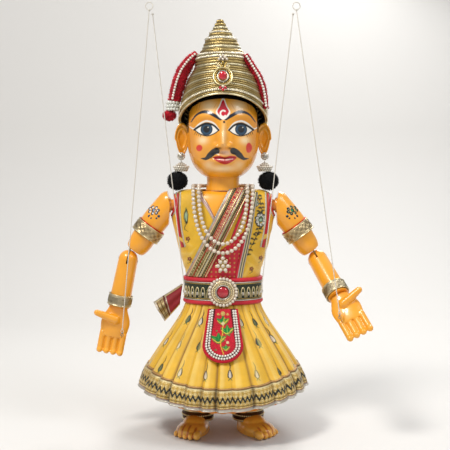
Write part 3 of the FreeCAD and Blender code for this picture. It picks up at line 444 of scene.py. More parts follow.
def enamel(name, colour=None):
    """Glossy brushed enamel over carved wood, with faint brush lines, dirt and small knocks."""
    f = Finish(name, colour)
    f.vary(f.noise(22.0), 0.90, 1.06)
    worn = f.math("GREATER_THAN", f.noise(160.0, 5.0, 0.75), 0.735)
    f.tint(f.math("MULTIPLY", worn, 0.5), tone("8a5a1c"))
    f.raise_by(f.noise(500.0, place=f.stretch(1, 1, 0.12)), 0.25, 0.0004)
    f.raise_by(f.noise(60.0), 0.12, 0.001)
    f.dull(f.noise(45.0), 0.20, 0.42)
    return f.ready(coat_weight=0.6, coat_roughness=0.12)


def cloth(name, colour=None, threads=900.0, sheen=0.35, rough=0.55, crease=0.0):
    """Woven cloth. Metal thread shines where the paint says there is some."""
    f = Finish(name, colour)
    f.vary(f.noise(35.0), 0.86, 1.08)
    weave = f.math("MULTIPLY", f.waves(threads, "X"), f.waves(threads, "Z"))
    f.vary(weave, 0.94, 1.03)
    f.raise_by(weave, 0.35, 0.0003)
    f.raise_by(f.noise(700.0, 2.0), 0.25, 0.0003)
    if crease:
        f.raise_by(f.noise(28.0, 4.0, place=f.stretch(1, 1, 0.35)), crease, 0.004)
    f.dull(f.metal, rough, 0.3)
    return f.ready(sheen_weight=sheen, sheen_roughness=0.4)


def gilt(name, colour=None, rough=0.3, age=0.5):
    """Gilt or silvered metal, darker where dirt gathers."""
    f = Finish(name, colour, metal=0.95)
    f.vary(f.noise(90.0, 4.0), 0.72, 1.12)
    f.tint(f.math("MULTIPLY", f.math("GREATER_THAN", f.noise(240.0, 5.0, 0.7), 0.60), age), tone("4a3514"))
    f.raise_by(f.noise(420.0, 3.0), 0.35, 0.0006)
    f.dull(f.noise(150.0), rough - 0.1, rough + 0.18)
    return f.ready()


def pearly(name, colour=None):
    """Pearl lustre: glossy, with a warmer tint painted towards the edge as a painted sheen."""
    f = Finish(name, colour, rough=0.22, metal=0.0)
    f.vary(f.noise(300.0), 0.9, 1.04)
    # painted sheen: a warmer tint where the pearl turns away from view
    edge = f.node("LayerWeight", {"Blend": 0.35}).outputs["Facing"]
    f.tint(f.math("MULTIPLY", edge, 0.45), tone("b99a92"))
    f.raise_by(f.noise(900.0), 0.12, 0.0003)
    return f.ready(coat_weight=0.7, coat_roughness=0.08, sheen_weight=0.15)


def gem(name):
    """Cut glass with a foil behind it."""
    f = Finish(name, rough=0.08, metal=0.15)
    # painted shade: the glass darkens to deep red where it turns away from view
    facing = f.node("LayerWeight", {"Blend": 0.3}).outputs["Facing"]
    f.tint(f.math("MULTIPLY", facing, 0.55), tone("4a0210"))
    f.vary(f.noise(180.0, 2.0), 0.75, 1.25)
    f.raise_by(f.noise(140.0, 1.0), 0.15, 0.001)
    return f.ready(coat_weight=1.0, coat_roughness=0.03)


def pile(name, scale=1300.0, sheen=0.35):
    """Velvet, plush and wool: rough, with a soft sheen and a nap."""
    f = Finish(name, rough=0.95, metal=0.0)
    f.vary(f.noise(scale, 2.0), 0.62, 1.3)
    f.vary(f.noise(60.0), 0.85, 1.1)
    f.raise_by(f.noise(scale, 2.0), 0.8, 0.0008)
    return f.ready(sheen_weight=sheen, sheen_roughness=0.5)


def wire(name, colour, rough=0.35):
    """Drawn metal wire."""
    f = Finish(name, colour, metal=1.0)
    f.vary(f.noise(200.0), 0.8, 1.1)
    f.raise_by(f.noise(900.0, place=f.stretch(1, 1, 0.1)), 0.2, 0.0002)
    f.dull(f.noise(300.0), rough - 0.1, rough + 0.15)
    return f.ready()


def cord_finish(name, colour):
    """Twisted cotton: slanting strands and a little fuzz."""
    f = Finish(name, colour, rough=0.9, metal=0.0)
    twist = f.node("TexWave", {"Vector": f.stretch(1, 1, 0.35), "Scale": 700.0, "Distortion": 0.4},
                   wave_type="BANDS", bands_direction="DIAGONAL").outputs["Fac"]
    f.vary(twist, 0.75, 1.08)
    f.raise_by(twist, 0.9, 0.0004)
    f.raise_by(f.noise(2500.0), 0.3, 0.0002)
    return f.ready(sheen_weight=0.4)


WOOD = enamel("enamel_paint")
SATIN = cloth("satin", threads=1100.0, sheen=0.25, rough=0.42, crease=0.35)
BROCADE = cloth("brocade", threads=650.0, sheen=0.15, rough=0.55)
COTTON = cloth("plain_cotton", threads=800.0, sheen=0.3, rough=0.7, crease=0.3)
GILT = gilt("gilt_metal")
DARK_GILT = gilt("dark_gilt", rough=0.38, age=0.75)
PEARLS = pearly("pearl_lustre")
GEM = gem("red_glass")
VELVET = pile("velvet", sheen=0.1)
WOOL = pile("wool", 2000.0, 0.02)


def dress_cad():
    """Materials for the CAD nodes that stay in view."""
    skin = enamel("enamel_yellow", SKIN)
    steel = wire("steel_wire", tone("9a9a98"))
    brass = wire("brass_wire", tone("b58a3c"), 0.3)
    thread = cord_finish("white_cotton", tone("efe9dc"))
    for name, node in NODES.items():
        tail = name.split("_", 1)[1] if name.split("_")[0] in SIDES else name
        if tail in ("torso", "upper_arm", "forearm", "shoulder_knuckle", "thigh"):
            chosen = skin
        elif tail in ("hand_string", "waist_string"):
            chosen = thread
        elif tail in ("elbow_tab", "palm_eye", "waist_string_eyes"):
            chosen = brass
        else:
            chosen = steel
        node.data.materials.clear()
        node.data.materials.append(chosen)


# ---- Stage ---------------------------------------------------------------------------------------
CAMERA_ANGLE = 2 * math.atan(15 / 56)
CAMERA_FAR, CAMERA_HIGH, CAMERA_AIM, CAMERA_ASIDE = 1.134, 0.334, 0.279, 0.0027


def aimed(name, data, spot, aim):
    """A lamp or a camera at a spot, looking at a place."""
    made = bpy.data.objects.new(name, data)
    made.location = spot
    made.rotation_euler = (Vector(aim) - Vector(spot)).to_track_quat("-Z", "Y").to_euler()
    bpy.context.scene.collection.objects.link(made)
    return made


def stage():
    """A curved sheet of pale paper, three lamps, the sky and the camera."""
    floor_mesh = bpy.data.meshes.new("floor")
    wide, back, curl = 3.0, 0.9, 0.5
    profile = [(-3.0, 0.0), (back, 0.0)]
    bend = np.linspace(0.1, math.pi / 2, 12)
    profile += [(back + curl * math.sin(t), curl * (1 - math.cos(t))) for t in bend]
    profile.append((back + curl, 3.0))
    points = [(x, y, z) for y, z in profile for x in (-wide, wide)]
    faces = [(2 * i, 2 * i + 1, 2 * i + 3, 2 * i + 2) for i in range(len(profile) - 1)]
    floor_mesh.from_pydata(points, [], faces)
    floor_mesh.polygons.foreach_set("use_smooth", [True] * len(faces))
    floor = bpy.data.objects.new("floor", floor_mesh)
    bpy.context.scene.collection.objects.link(floor)
    paper = bpy.data.materials.new("pale_paper")
    paper.use_nodes = True
    look = paper.node_tree.nodes["Principled BSDF"].inputs
    look["Base Color"].default_value, look["Roughness"].default_value = (0.70, 0.685, 0.66, 1), 0.9
    floor_mesh.materials.append(paper)

    def lamp(name, spot, aim, power, wide, colour=(1, 1, 1)):
        light = bpy.data.lights.new(name, "AREA")
        light.energy, light.size, light.color = power, wide, colour
        aimed(name, light, spot, aim)

    centre = (0, 0, 0.3)
    lamp("key", (-0.85, -0.95, 1.9), centre, 30, 0.5, (1, 0.97, 0.93))
    lamp("fill", (1.15, -0.85, 1.65), centre, 12, 0.8, (0.96, 0.98, 1))
    lamp("rim", (0.5, 1.1, 1.3), centre, 12, 0.6)
    world = bpy.data.worlds.new("studio")
    world.use_nodes = True
    world.node_tree.nodes["Background"].inputs[0].default_value = (0.95, 0.97, 1, 1)
    world.node_tree.nodes["Background"].inputs[1].default_value = 0.47
    bpy.context.scene.world = world
    bpy.context.scene.view_settings.view_transform = "Standard"

    camera = bpy.data.cameras.new("camera")
    camera.angle = CAMERA_ANGLE
    sideways = CAMERA_ASIDE + MIDDLE[0] * MM
    eye, aim = (sideways, -CAMERA_FAR, CAMERA_HIGH), (sideways, 0, CAMERA_AIM)
    bpy.context.scene.camera = aimed("camera", camera, eye, aim)


# ---- Head ----------------------------------------------------------------------------------------
HEAD_TOP = high("head")[2]
HEAD_TALL = 129.5
CHIN = HEAD_TOP - HEAD_TALL
EYE_Z = CHIN + 64
HEAD_WIDE = 48.3
HEAD_DEEP = 45.5
BRIM_Z = 418.0
BRIM_SLOPE = 0.54


def bump(x, z, at_x, at_z, wide, tall):
    """A soft round hill, 1 high, at a place on the face."""
    return np.exp(-(((x - at_x) / wide) ** 2) - ((z - at_z) / tall) ** 2)


def face_relief(x, z):
    """How far the carving stands forward of the plain oval, in the middle of the face."""
    eye, side = EYE_Z, np.abs(x)
    bridge = np.interp(z, [eye - 25.5, eye - 23, eye - 19, eye - 2, eye + 9, eye + 16],
                       [0, 9.5, 12.5, 5, 2.2, 0])
    wide = np.interp(z, [eye - 24, eye - 18, eye, eye + 12], [6.5, 5.5, 4.2, 6])
    out = bridge * np.exp(-(x / wide) ** 2)
    out += 5.2 * bump(side, z, 8.6, eye - 21.5, 3.6, 3.8)
    out += 3.0 * bump(side, z, 30, eye - 22, 14, 15)
    out -= 3.0 * bump(side, z, 21, eye + 1, 15, 9)
    out += 2.6 * bump(side, z, 21.5, eye - 0.5, 11, 7)
    out += 1.6 * bump(side, z, 22, eye + 18, 20, 5)
    out += 3.6 * bump(x, z, 0, eye - 33.5, 13, 3.0) + 4.4 * bump(x, z, 0, eye - 40.5, 12, 3.6)
    out -= 2.4 * bump(x, z, 0, eye - 36.6, 16, 1.1)
    out -= 1.2 * bump(x, z, 0, eye - 29, 2.2, 3.5)
    out += 5.0 * bump(x, z, 0, eye - 56, 13, 9)
    return out


def paint_face(x, z):
    """The painted face as colours, from spots on it. Its features sit a little to the wearer's left."""
    across = x - 1.2
    spots = np.stack([x, z - EYE_Z], -1)
    eyes = np.stack([np.abs(across), z - EYE_Z], -1)
    lips = np.stack([x - 2.5, z - EYE_Z], -1)
    beard = np.stack([np.abs(x - 2.5), z - EYE_Z], -1)
    paint = np.tile(SKIN, (len(x), 1))
    lay(paint, 0.55 * bump(np.abs(across), z, 24, EYE_Z + 13, 17, 5), tone("d9820f"))
    # painted shade: darker orange towards the sides of the face
    lay(paint, 0.60 * bump(np.abs(x), z, 47, EYE_Z - 20, 12, 44), tone("d97f10"))
    # painted shade: a darker orange strip beside each side of the nose
    lay(paint, 0.55 * bump(np.abs(x - 2.5), z, 11, EYE_Z - 12, 3, 12), tone("dd8c18"))
    # painted highlights: pale patches on the forehead, under the eyes, on the chin, beside the mouth and down
    # the nose
    painted_highlights = ((19.5, 31, 10, 8, 0.75), (27.5, -13.5, 7, 5.5, 0.85), (0, -50, 19, 4, 0.6),
              (20, -45, 6, 5, 0.5), (0, -6, 3, 15, 0.55))
    for at_x, at_z, wide, tall, strength in painted_highlights:
        lay(paint, strength * bump(np.abs(across), z, at_x, EYE_Z + at_z, wide, tall), tone("fbe3b4"))
    for start, stop in (((33, 26), (30, 38)), ((36, 25), (34.5, 34)), ((14, 26), (9.5, 34))):
        lay(paint, 0.6 * stroke(eyes, np.array([start, stop], float), 1.0, (0.4, 0.4), 0.4), tone("c97a12"))

    # eyes
    lid = curve([(6.6, -1.0), (13.5, 5.4), (22.6, 7.8), (31.0, 5.0), (38.5, 0.6)])
    lower = curve([(38.5, 0.6), (31, -5.0), (22, -8.0), (13, -5.4), (6.6, -1.0)])
    eye = np.vstack([lid, lower[1:-1]])
    white = filled(eyes, eye)
    lay(paint, white, WHITE)
    lay(paint, white * disc(eyes, 22.4, 0.5, 7.9), tone("0b1018"))
    lay(paint, white * disc(eyes, 22.4, 0.5, 7.0), tone("24445c"))
    lay(paint, white * disc(eyes, 22.4, 0.7, 4.4, 0.8), BLACK)
    # painted highlights: a small white glint in each eye
    lay(paint, 0.6 * disc(spots, -19.2, 3.2, 0.8), WHITE)
    lay(paint, 0.6 * disc(spots, 25.8, 3.2, 0.8), WHITE)
    crease = curve([(6.0, -0.4), (13.2, 8.2), (22.8, 11.2), (31.5, 8.0), (39, 2.2), (45, 5.2)])
    lay(paint, stroke(eyes, crease, 2.4, (0.7, 0.5)), WHITE)
    lay(paint, stroke(eyes, lid + [0, 0.3], 2.9, (0.8, 1.0)), BLACK)
    lay(paint, stroke(eyes, lower, 1.4, (0.9, 0.9)), BLACK)
    for lash in range(4):
        start = np.array([29.5 + 2.5 * lash, -6.0 + 1.2 * lash])
        lay(paint, stroke(eyes, np.array([start, start + [1.3, -3.0]]), 0.8, (1, 0.5)), BLACK)

    # brows
    brow = curve([(42.3, 11.4), (35.3, 19.4), (27.6, 23.0), (19.6, 22.6), (11.6, 18.4), (3.4, 13.8)])
    lay(paint, stroke(np.stack([np.abs(x - 0.3), z - EYE_Z], -1), brow, 4.3, (0.3, 1.0)), NAVY)

    # forehead mark
    drop = curve([(0.4, 42.3), (5.4, 31), (9.6, 21.4), (0.6, 12.6), (-9.2, 21.4), (-5, 31)], 60, closed=True)
    centre = drop.mean(0)
    lay(paint, filled(spots, drop), WHITE)
    lay(paint, filled(spots, centre + (drop - centre) * 0.78), RED)
    curl = np.array([(0.4 + 3.7 * math.cos(t), 20.6 + 4.0 * math.sin(t)) for t in np.linspace(0.9, 5.5, 24)])
    lay(paint, stroke(spots, curl, 2.1), WHITE)
    lay(paint, disc(spots, 1.6, 9.6, 1.5), BLACK)

    # cheeks, nostrils, moustache and mouth
    lay(paint, 0.95 * disc(spots, -30.8, -23.4, 4.2, 0.7), tone("d8211c"))
    mark = curve([(35, -16.5), (38.4, -22), (36, -28.4), (31.6, -29), (30, -23.5), (31.4, -18)], 30, True)
    lay(paint, 0.95 * filled(spots, mark, 0.7), tone("d8211c"))
    # painted shade: dark brown in the nostrils
    lay(paint, 0.9 * bump(np.abs(x - 2.5), z, 6.6, EYE_Z - 24.2, 2.6, 1.2), tone("3a1a06"))
    # painted highlight: a pale pink patch between the nose and the mouth
    lay(paint, 0.8 * bump(x, z, 2.5, EYE_Z - 30, 8.0, 3.2), tone("f6d6c4"))
    hair = curve([(11.0, -27.4), (14.8, -29.0), (19.5, -33.0), (24.8, -37.0), (31.2, -36.8)])
    lay(paint, stroke(beard, hair, 7.4, (1.15, 0.1)), tone("060608"))
    bow = [(-15.2, -36.0), (-7.5, -33.8), (0, -35.6), (8.0, -33.6), (15.4, -35.4), (9, -41.4), (0, -44.8),
           (-9, -41.6)]
    lay(paint, filled(lips, curve(bow, 60, True), 0.3), tone("c30f20"))
    # painted highlight: a pale pink stroke along the lips on each side
    for side in (-1, 1):
        lip_highlight = curve([(side * 1.4, -39.0), (side * 5.0, -38.2), (side * 10.2, -37.8)])
        lay(paint, 0.9 * stroke(lips, lip_highlight, 2.4, (0.8, 0.3)), tone("f6c9bd"))
    lay(paint, 0.7 * stroke(lips, curve([(-13.5, -36.4), (0, -37.4), (13.5, -36)]), 0.8, (0.5, 0.5)),
        tone("5e060c"))
    return paint


HAIRLINE = ((0, 40.6), (19, 39.0), (30, 36.4), (40, 31.4), (44.7, 25.0), (47.3, 16.0), (48.3, 4.0))


def head():
    """The head as a carved oval with the face's relief, black hair, ears and the neck."""
    form = Form()
    front = np.radians(np.linspace(-80, 80, 330))
    back = np.radians(np.linspace(80, 280, 70)[1:-1])
    around = np.concatenate([front, back])
    s = np.linspace(-1, 1, 300)
    s = s * (1.5 - 0.5 * s * s)
    rows = []
    for share in s[1:-1]:
        upper = share > 0
        z = EYE_Z + share * ((HEAD_TOP - EYE_Z) if upper else (EYE_Z - CHIN))
        power = 2.4 if upper else 2.6
        size = (1 - abs(share) ** power) ** (1 / power)
        wide, deep = HEAD_WIDE * size, HEAD_DEEP * size ** (1.0 if upper else 0.8)
        x = wide * np.sign(np.sin(around)) * np.abs(np.sin(around)) ** 0.94
        y = -deep * np.sign(np.cos(around)) * np.abs(np.cos(around)) ** 0.94
        y = y + (0 if upper else 4 * abs(share) ** 2)
        facing = smooth(np.cos(around), 0.1, 0.5)
        y = y - facing * face_relief(x, np.full_like(x, z))
        rows.append(np.stack([x, y, np.full_like(x, z)], -1))
    rows = np.array(rows)
    flat = rows.reshape(-1, 3)
    paint = paint_face(flat[:, 0], flat[:, 2])
    edge = EYE_Z + np.interp(np.abs(flat[:, 0]), *zip(*HAIRLINE))
    hair = smooth(flat[:, 2] - edge, -0.4, 0.4)
    hair = np.maximum(hair, smooth(flat[:, 1], 9, 10.5) * smooth(flat[:, 2], CHIN + 12, CHIN + 13))
    side_hair = smooth(np.abs(flat[:, 0]), 44.6, 45.6) * smooth(flat[:, 2], EYE_Z - 3, EYE_Z - 1)
    hair = np.maximum(hair, side_hair * smooth(flat[:, 1], -24, -22))
    back_face = flat[:, 1] > 0
    paint[back_face] = SKIN
    lay(paint, hair, tone("0a0a0c"))
    form.grid(rows, around=True, ends=True, paint=paint.reshape(*rows.shape[:2], 4))

    neck_low = high("torso")[2] + 0.4
    neck = ((23.6, 0), (23.4, 1), (22.4, 5), (21.6, 11), (22.5, 24), (20, 34))
    form.lathe([(r, neck_low + up) for r, up in neck], (0, 2, 0), segments=64)
    for side in SIDES.values():
        ear(form, side)
    return form.make("head_carving", WOOD, "head", ["head"])


def ear(form, side):
    """An ear with a rolled rim, a hollow and a lobe."""
    low_x, high_x = HEAD_WIDE - 3.5, high("head")[0]
    centre = np.array([side * (low_x + high_x) / 2, 2.0, EYE_Z - 10.0])
    half = np.array([(high_x - low_x) / 2 + 0.5, 22.0])
    turn = circle(48)
    rows = []
    reach = [(0.05, -1.0), (0.25, -1.3), (0.42, -1.0), (0.52, -2.6), (0.62, -3.4), (0.74, -1.8), (0.84, -3.8),
             (0.93, -4.4), (1.0, -2.2), (0.97, 0.8), (0.75, 2.4), (0.3, 3.0)]
    for share, depth in reach:
        egg = 1 - 0.16 * (1 - np.sin(turn)) * (np.sin(turn) < 0)
        x = centre[0] + side * half[0] * share * np.cos(turn) * egg
        z = centre[2] + half[1] * share * np.sin(turn)
        lean = 3.2 * np.cos(turn) * share
        y = centre[1] + depth - lean
        rows.append(np.stack([x, y, z], -1))
    form.grid(rows, around=True, ends=True)


# ---- Crown ---------------------------------------------------------------------------------------
CROWN_TOP = high("crown")[2]
CORDS = 30


def crown_radius(z):
    """The crown's radius at a height, read off the back of the CAD solid."""
    z = np.clip(z, low("crown")[2] + 2, CROWN_TOP - 0.6)
    hit = cast("crown", (0, 200, z), (0, -1, 0))
    return hit[1]


def crown_line(share, angle):
    """Height on the crown at a share of the way from brim to tip: low rows follow the sloping brim."""
    level = BRIM_Z + (CROWN_TOP - BRIM_Z) * share
    slope = BRIM_SLOPE * 59 * np.cos(angle)
    return level + slope * np.clip(1 - share / 0.62, 0, 1) ** 1.5


def crown_lean(z):
    """How far the crown has shifted sideways at a height."""
    return -4.0 * smooth(z, 470, CROWN_TOP + 10)


def crown():
    """Rows of twisted metal-thread cord and strings of beads. The tip leans to the wearer's right."""
    thread, pale, groove_shade = tone("c6ad72", 0.55), tone("e8dcb4", 0.5), tone("6a5226", 0.4)
    form = Form(thread)
    around = circle(420)
    heights = np.linspace(low("crown")[2], CROWN_TOP, 160)
    radii = np.array([crown_radius(z) for z in heights])
    radii = np.convolve(np.pad(radii, 2, mode="edge"), np.ones(5) / 5, "valid")
    steps = CORDS * 7
    rows, paint = [], []
    for i in range(steps):
        share = i / steps
        row = i / 7
        number = int(row)
        round_cord = abs(math.sin(math.pi * row)) ** 0.6
        strands = 116 if share < 0.6 else 60
        twist = np.cos(strands * around + 9 * row)
        z = crown_line(share, around)
        r = np.interp(z, heights, radii) - 1.2 + 1.7 * round_cord + 0.28 * twist * round_cord
        rows.append(np.stack([r * np.sin(around) + crown_lean(z), -r * np.cos(around), z], -1))
        shade = np.tile(pale if number % 3 == 0 else thread, (len(around), 1))
        # painted shade: darker between the cords and in the twists of each cord
        lay(shade, np.full(len(around), 0.7 * (1 - round_cord) ** 0.8), groove_shade)
        lay(shade, 0.3 * smooth(-twist, 0, 1), groove_shade)
        paint.append(shade)
    form.grid(rows, around=True, paint=np.array(paint))
    brim = rows[0]
    # painted shade: the inner side of the brim is painted near black
    dark = tone("1c1208")
    form.grid([brim, brim * [0.985, 0.985, 1] - [0, 0, 0.6], brim * [0.97, 0.97, 1],
               brim * [0.9, 0.9, 1] + [0, 0, 6]],
              around=True, paint=np.repeat(np.array([thread, thread, dark, dark])[:, None], len(around), 1))
    form.ball((crown_lean(CROWN_TOP), 0, CROWN_TOP - 3.0), 3.4, segments=20, paint=pale)
    lip = crown_line(0.0, around)
    r = np.interp(lip, heights, radii) + 0.4
    form.tube(polar(r, around, lip), 1.1, closed=True, paint=pale)
    strings = ((0.09, 128, 1.45), (0.605, 84, 1.5), (0.64, 84, 1.7), (0.80, 46, 1.9), (0.865, 36, 1.6))
    for share, count, size in strings:
        for angle in circle(count):
            z = float(crown_line(share, angle))
            r = float(np.interp(z, heights, radii)) + 0.7
            spot = (r * math.sin(angle) + crown_lean(z), -r * math.cos(angle), z)
            form.ball(spot, size, segments=8, paint=tone("f0e8d2", 0.3))
    return form.make("crown_cordwork", GILT, "head", ["crown"])


def on_crown(x, z, proud=0.0):
    """A point on the front of the crown."""
    r = crown_radius(z)
    y = -math.sqrt(max(r * r - x * x, 1)) - proud
    return np.array([x, y, z])


def medallion():
    """A cabochon in an oval frame, with scrolls and pearls above it and a red cluster below."""
    form = Form(GOLD)
    centre = middle("crown_medallion")
    z0 = centre[2] - 1.5
    turn = circle(48)

    def loop(x, z, wide, tall, wire, proud=2.2, colour=PALE_GOLD):
        path = [on_crown(x + wide * math.cos(t), z + tall * math.sin(t), proud) for t in turn]
        form.tube(path, wire, closed=True, paint=colour)

    loop(0, z0, 12.0, 11.8, 1.25)
    loop(0, z0, 9.8, 9.8, 0.6, colour=GOLD)
    loop(0, z0, 6.6, 7.3, 1.0, 2.6, SILVER)
    seat = on_crown(0, z0, 1.2)
    form.lathe([(6.8, -1.6), (6.8, 0.9), (5.2, 1.5), (0, 1.6)], seat, (0, -1, 0.35),
               paint=tone("a58a4a", 0.9))
    form.ball(seat + [0, -1.8, 0.5], 5.3, (1, 0.55, 1.13), 28, RED, slot=1)
    for side in (-1, 1):
        loop(side * 5.8, z0 + 14.0, 2.5, 2.3, 0.75)
        form.ball(on_crown(side * 5.8, z0 + 14.0, 1.9), 1.5, segments=10, paint=tone("d9c9a8"), slot=2)
        scroll = ((5.5, 10.6), (2.6, 12.8), (2.2, 15.5), (5.4, 19.5))
        form.tube(curve([on_crown(side * x, z0 + z, 2.4) for x, z in scroll], 16), 0.8)
    form.ball(on_crown(0, z0 + 18.5, 1.8), 2.0, (0.8, 0.7, 1.5), 14, tone("b79a52", 0.9))
    for x, z in ((-2.7, 26.0), (2.7, 26.0), (0, 28.4), (0, 23.4), (-5.0, 23.6), (5.0, 23.6)):
        form.ball(on_crown(x, z0 + z, 2.0), 1.9, segments=12, paint=PEARL, slot=2)
    for x, z, colour in ((-3.4, -15.2, RED), (3.4, -15.2, RED), (0, -13.6, PEARL), (0, -17.4, RED)):
        form.ball(on_crown(x, z0 + z, 1.8), 2.0, segments=12, paint=colour, slot=1 if colour is RED else 2)
    return form.make("crown_jewel", [GILT, GEM, PEARLS], "head", ["crown_medallion"])


# ---- Garlands, ear-rings -------------------------------------------------------------------------
def fuzz(form, spots, outs, long, thick, colour, slot=0, wild=0.7):
    """Short tapering hairs that stand out of a surface and lean at random."""
    for spot, out in zip(spots, outs):
        way = out / np.linalg.norm(out) + wild * chance.normal(size=3) * 0.5
        way /= np.linalg.norm(way)
        x, y = plane(way)
        size = thick * chance.uniform(0.7, 1.2)
        base = [spot + size * (math.cos(t) * x + math.sin(t) * y) - 0.5 * way for t in (0, 2.1, 4.2)]
        tip = spot + way * long * chance.uniform(0.6, 1.15)
        shade = shaded(colour, chance.uniform(0.6, 1.35))
        form.add(base + [tip], [(0, 1, 3), (1, 2, 3), (2, 0, 3), (2, 1, 0)], shade, slot)


def tuft(form, centre, radius, count, colour, stretch=(1, 1, 1), slot=0, long=3.0):
    """A pompom: a core covered in short hairs."""
    # painted shade: the core under the hairs is darker than the hairs
    form.ball(centre, radius - long * 0.55, stretch, 20, shaded(colour, 0.7), slot)
    outs = chance.normal(size=(count, 3))
    outs /= np.linalg.norm(outs, axis=1)[:, None]
    spots = np.asarray(centre) + outs * np.array(stretch) * (radius - long * 0.75)
    fuzz(form, spots, outs, long, 0.8, colour, slot)


def garland(side):
    """A red plush roll with a string of pearls along it. The right one ends in a pearl collar and a tuft."""
    s = SIDES[side]
    node = f"{side}_crown_garland"
    form = Form(RED)
    if side == "right":
        spine = [(35, 4, 509, 4.2), (45, 3, 498, 7.8), (54, 3, 484, 9.6), (60.5, 3, 466, 9.8),
                 (65.5, 4, 446, 8.8)]
    else:
        spine = [(29, -19, 503, 4.0), (37, -16, 490, 5.0), (47, -15.6, 473, 5.6), (52.5, -16.6, 456, 5.2),
                 (56, -18.8, 434, 3.8)]
    line = curve(spine, 70)
    path, radius = line[:, :3] * [s, 1, 1], line[:, 3]
    # painted shade: the core under the hairs is darker than the hairs
    form.tube(path, radius * 0.86, 18, paint=shaded(RED, 0.75))
    way = np.gradient(path, axis=0)
    for i in range(70):
        x, y = plane(way[i])
        turns = chance.uniform(0, 2 * math.pi, 26)
        outs = np.outer(np.cos(turns), x) + np.outer(np.sin(turns), y)
        jitter = way[i] * chance.uniform(-0.6, 0.6, 26)[:, None]
        fuzz(form, path[i] + outs * radius[i] * 0.82 + jitter, outs, 2.8, 1.15, tone("d4102c"), wild=1.1)
    out = np.array([0.25 * s, -1, 0.0])
    along = np.concatenate([[0], np.cumsum(np.linalg.norm(np.diff(path, axis=0), axis=1))])
    for far in np.arange(2.0, along[-1] - 1, 3.7):
        spot = np.array([np.interp(far, along, path[:, k]) for k in range(3)])
        size = np.interp(far, along, radius)
        form.ball(spot + out / np.linalg.norm(out) * (size + 1.0), 1.8, segments=10, paint=tone("ece6da"),
                  slot=1)
    if side == "right":
        foot = np.array([-67.4, 4, 439.0])
        form.lathe([(6.2, -5.5), (7.4, -4), (7.6, 4), (6.2, 5.5)], foot, paint=tone("9a9488", 0.5), slot=2)
        for level in (-4.4, 0.0, 4.4):
            form.beads(foot + [0, 0, level], 7.6, 12, 2.4, shift=level, segments=10,
                       paint=tone("dfe2d8", 0.2), slot=1)
        tuft(form, (-72.0, 4, 426.6), 9.2, 900, tone("d4102c"), (1.1, 1, 0.8), long=3.6)
    else:
        for z in np.arange(434, 424, -2.7):
            form.ball((58.5, -22.0, z), 1.4, segments=10, paint=PEARL, slot=1)
    return form.make(f"{side}_garland_plush", [VELVET, PEARLS, GILT], "head", [node])


def ear_studs():
    """A beaded silver stud on the front of each ear."""
    form = Form(SILVER)
    for s in SIDES.values():
        centre = np.array([s * 56.0, -5.6, 371.5])
        form.lathe([(5.0, -1.2), (5.4, 0), (4.8, 1.5), (3.4, 1.2), (3.0, 1.8), (0, 2.3)], centre,
                   (0, -1, 0), 28)
        form.beads(centre - [0, 1.7, 0], 4.2, 10, 0.95, facing=True, segments=8, paint=tone("e8e4da", 0.5))
        form.ball(centre + [0, -2.0, 0], 2.2, (1, 0.6, 1), 16, tone("b8b4ac", 0.9))
        form.tube([centre + [0, 1, 3], centre + [0, 7.5, 3]], 1.1)
        form.ring(centre - [0, 0.4, 7.2], (1, 0, 0), 1.8, 0.4, 18, 6)
    return form.make("ear_stud_discs", DARK_GILT, "head", ["ear_studs"])


def earring(side):
    """A bell-shaped drop in tiers of silver beads, and a black wool pompom under it."""
    node = f"{side}_earring_bell"
    top, foot, centre = high(node)[2], low(node)[2], middle(node)
    form = Form(SILVER)
    form.ring((centre[0], centre[1], top - 2.0), (0, 1, 0), 1.8, 0.45, 18, 6)
    tall = top - 1.6 - foot
    profile = [(1.0, 1.0), (2.8, 0.94), (4.2, 0.80), (6.4, 0.66), (9.2, 0.60), (10.1, 0.50), (9.6, 0.42),
               (7.4, 0.38), (7.2, 0.30), (8.6, 0.16), (8.4, 0.05), (7.6, 0.0), (0, 0.05)]
    form.lathe([(r, share * tall) for r, share in profile], (centre[0], centre[1], foot), segments=36,
               paint=tone("b9b09c", 0.8))
    tiers = ((0.54, 9.6, 20, 1.6), (0.3, 8.6, 18, 1.5), (0.08, 7.4, 16, 1.4), (0.76, 6.0, 14, 1.3),
             (0.94, 3.6, 9, 1.1))
    for share, radius, count, size in tiers:
        form.beads((centre[0], centre[1], foot + share * tall), radius, count, size, segments=8,
                   paint=tone("e3dccb", 0.5), slot=1)
    form.make(f"{side}_earring_drop", [DARK_GILT, PEARLS], f"{side}_earring", [node])

    node = f"{side}_earring_pompom"
    half = (high(node) - low(node)) / 2
    wool = Form(tone("101014"))
    tuft(wool, middle(node), half[2] + 1.0, 1900, tone("060608"), (1.08, half[1] / half[2], 0.98), long=3.4)
    return wool.make(f"{side}_earring_wool", WOOL, f"{side}_earring", [node])


# ---- Blouse and sash -----------------------------------------------------------------------------
def brocade(u, v, ground, thread, pitch=3.2):
    """A woven lattice with a flower in each cell, over two directions in millimetres."""
    a, b = u * math.pi / pitch, v * math.pi / pitch
    lattice = np.abs(np.sin(a) * np.cos(b))
    flower = np.cos(2 * a) * np.cos(2 * b)
    paint = np.broadcast_to(ground, (len(a), 4)).copy()
    lay(paint, smooth(lattice, 0.62, 0.80), thread)
    lay(paint, smooth(flower, 0.70, 0.9) * 0.8, thread * [1.15, 1.1, 1.0, 1])
    return paint


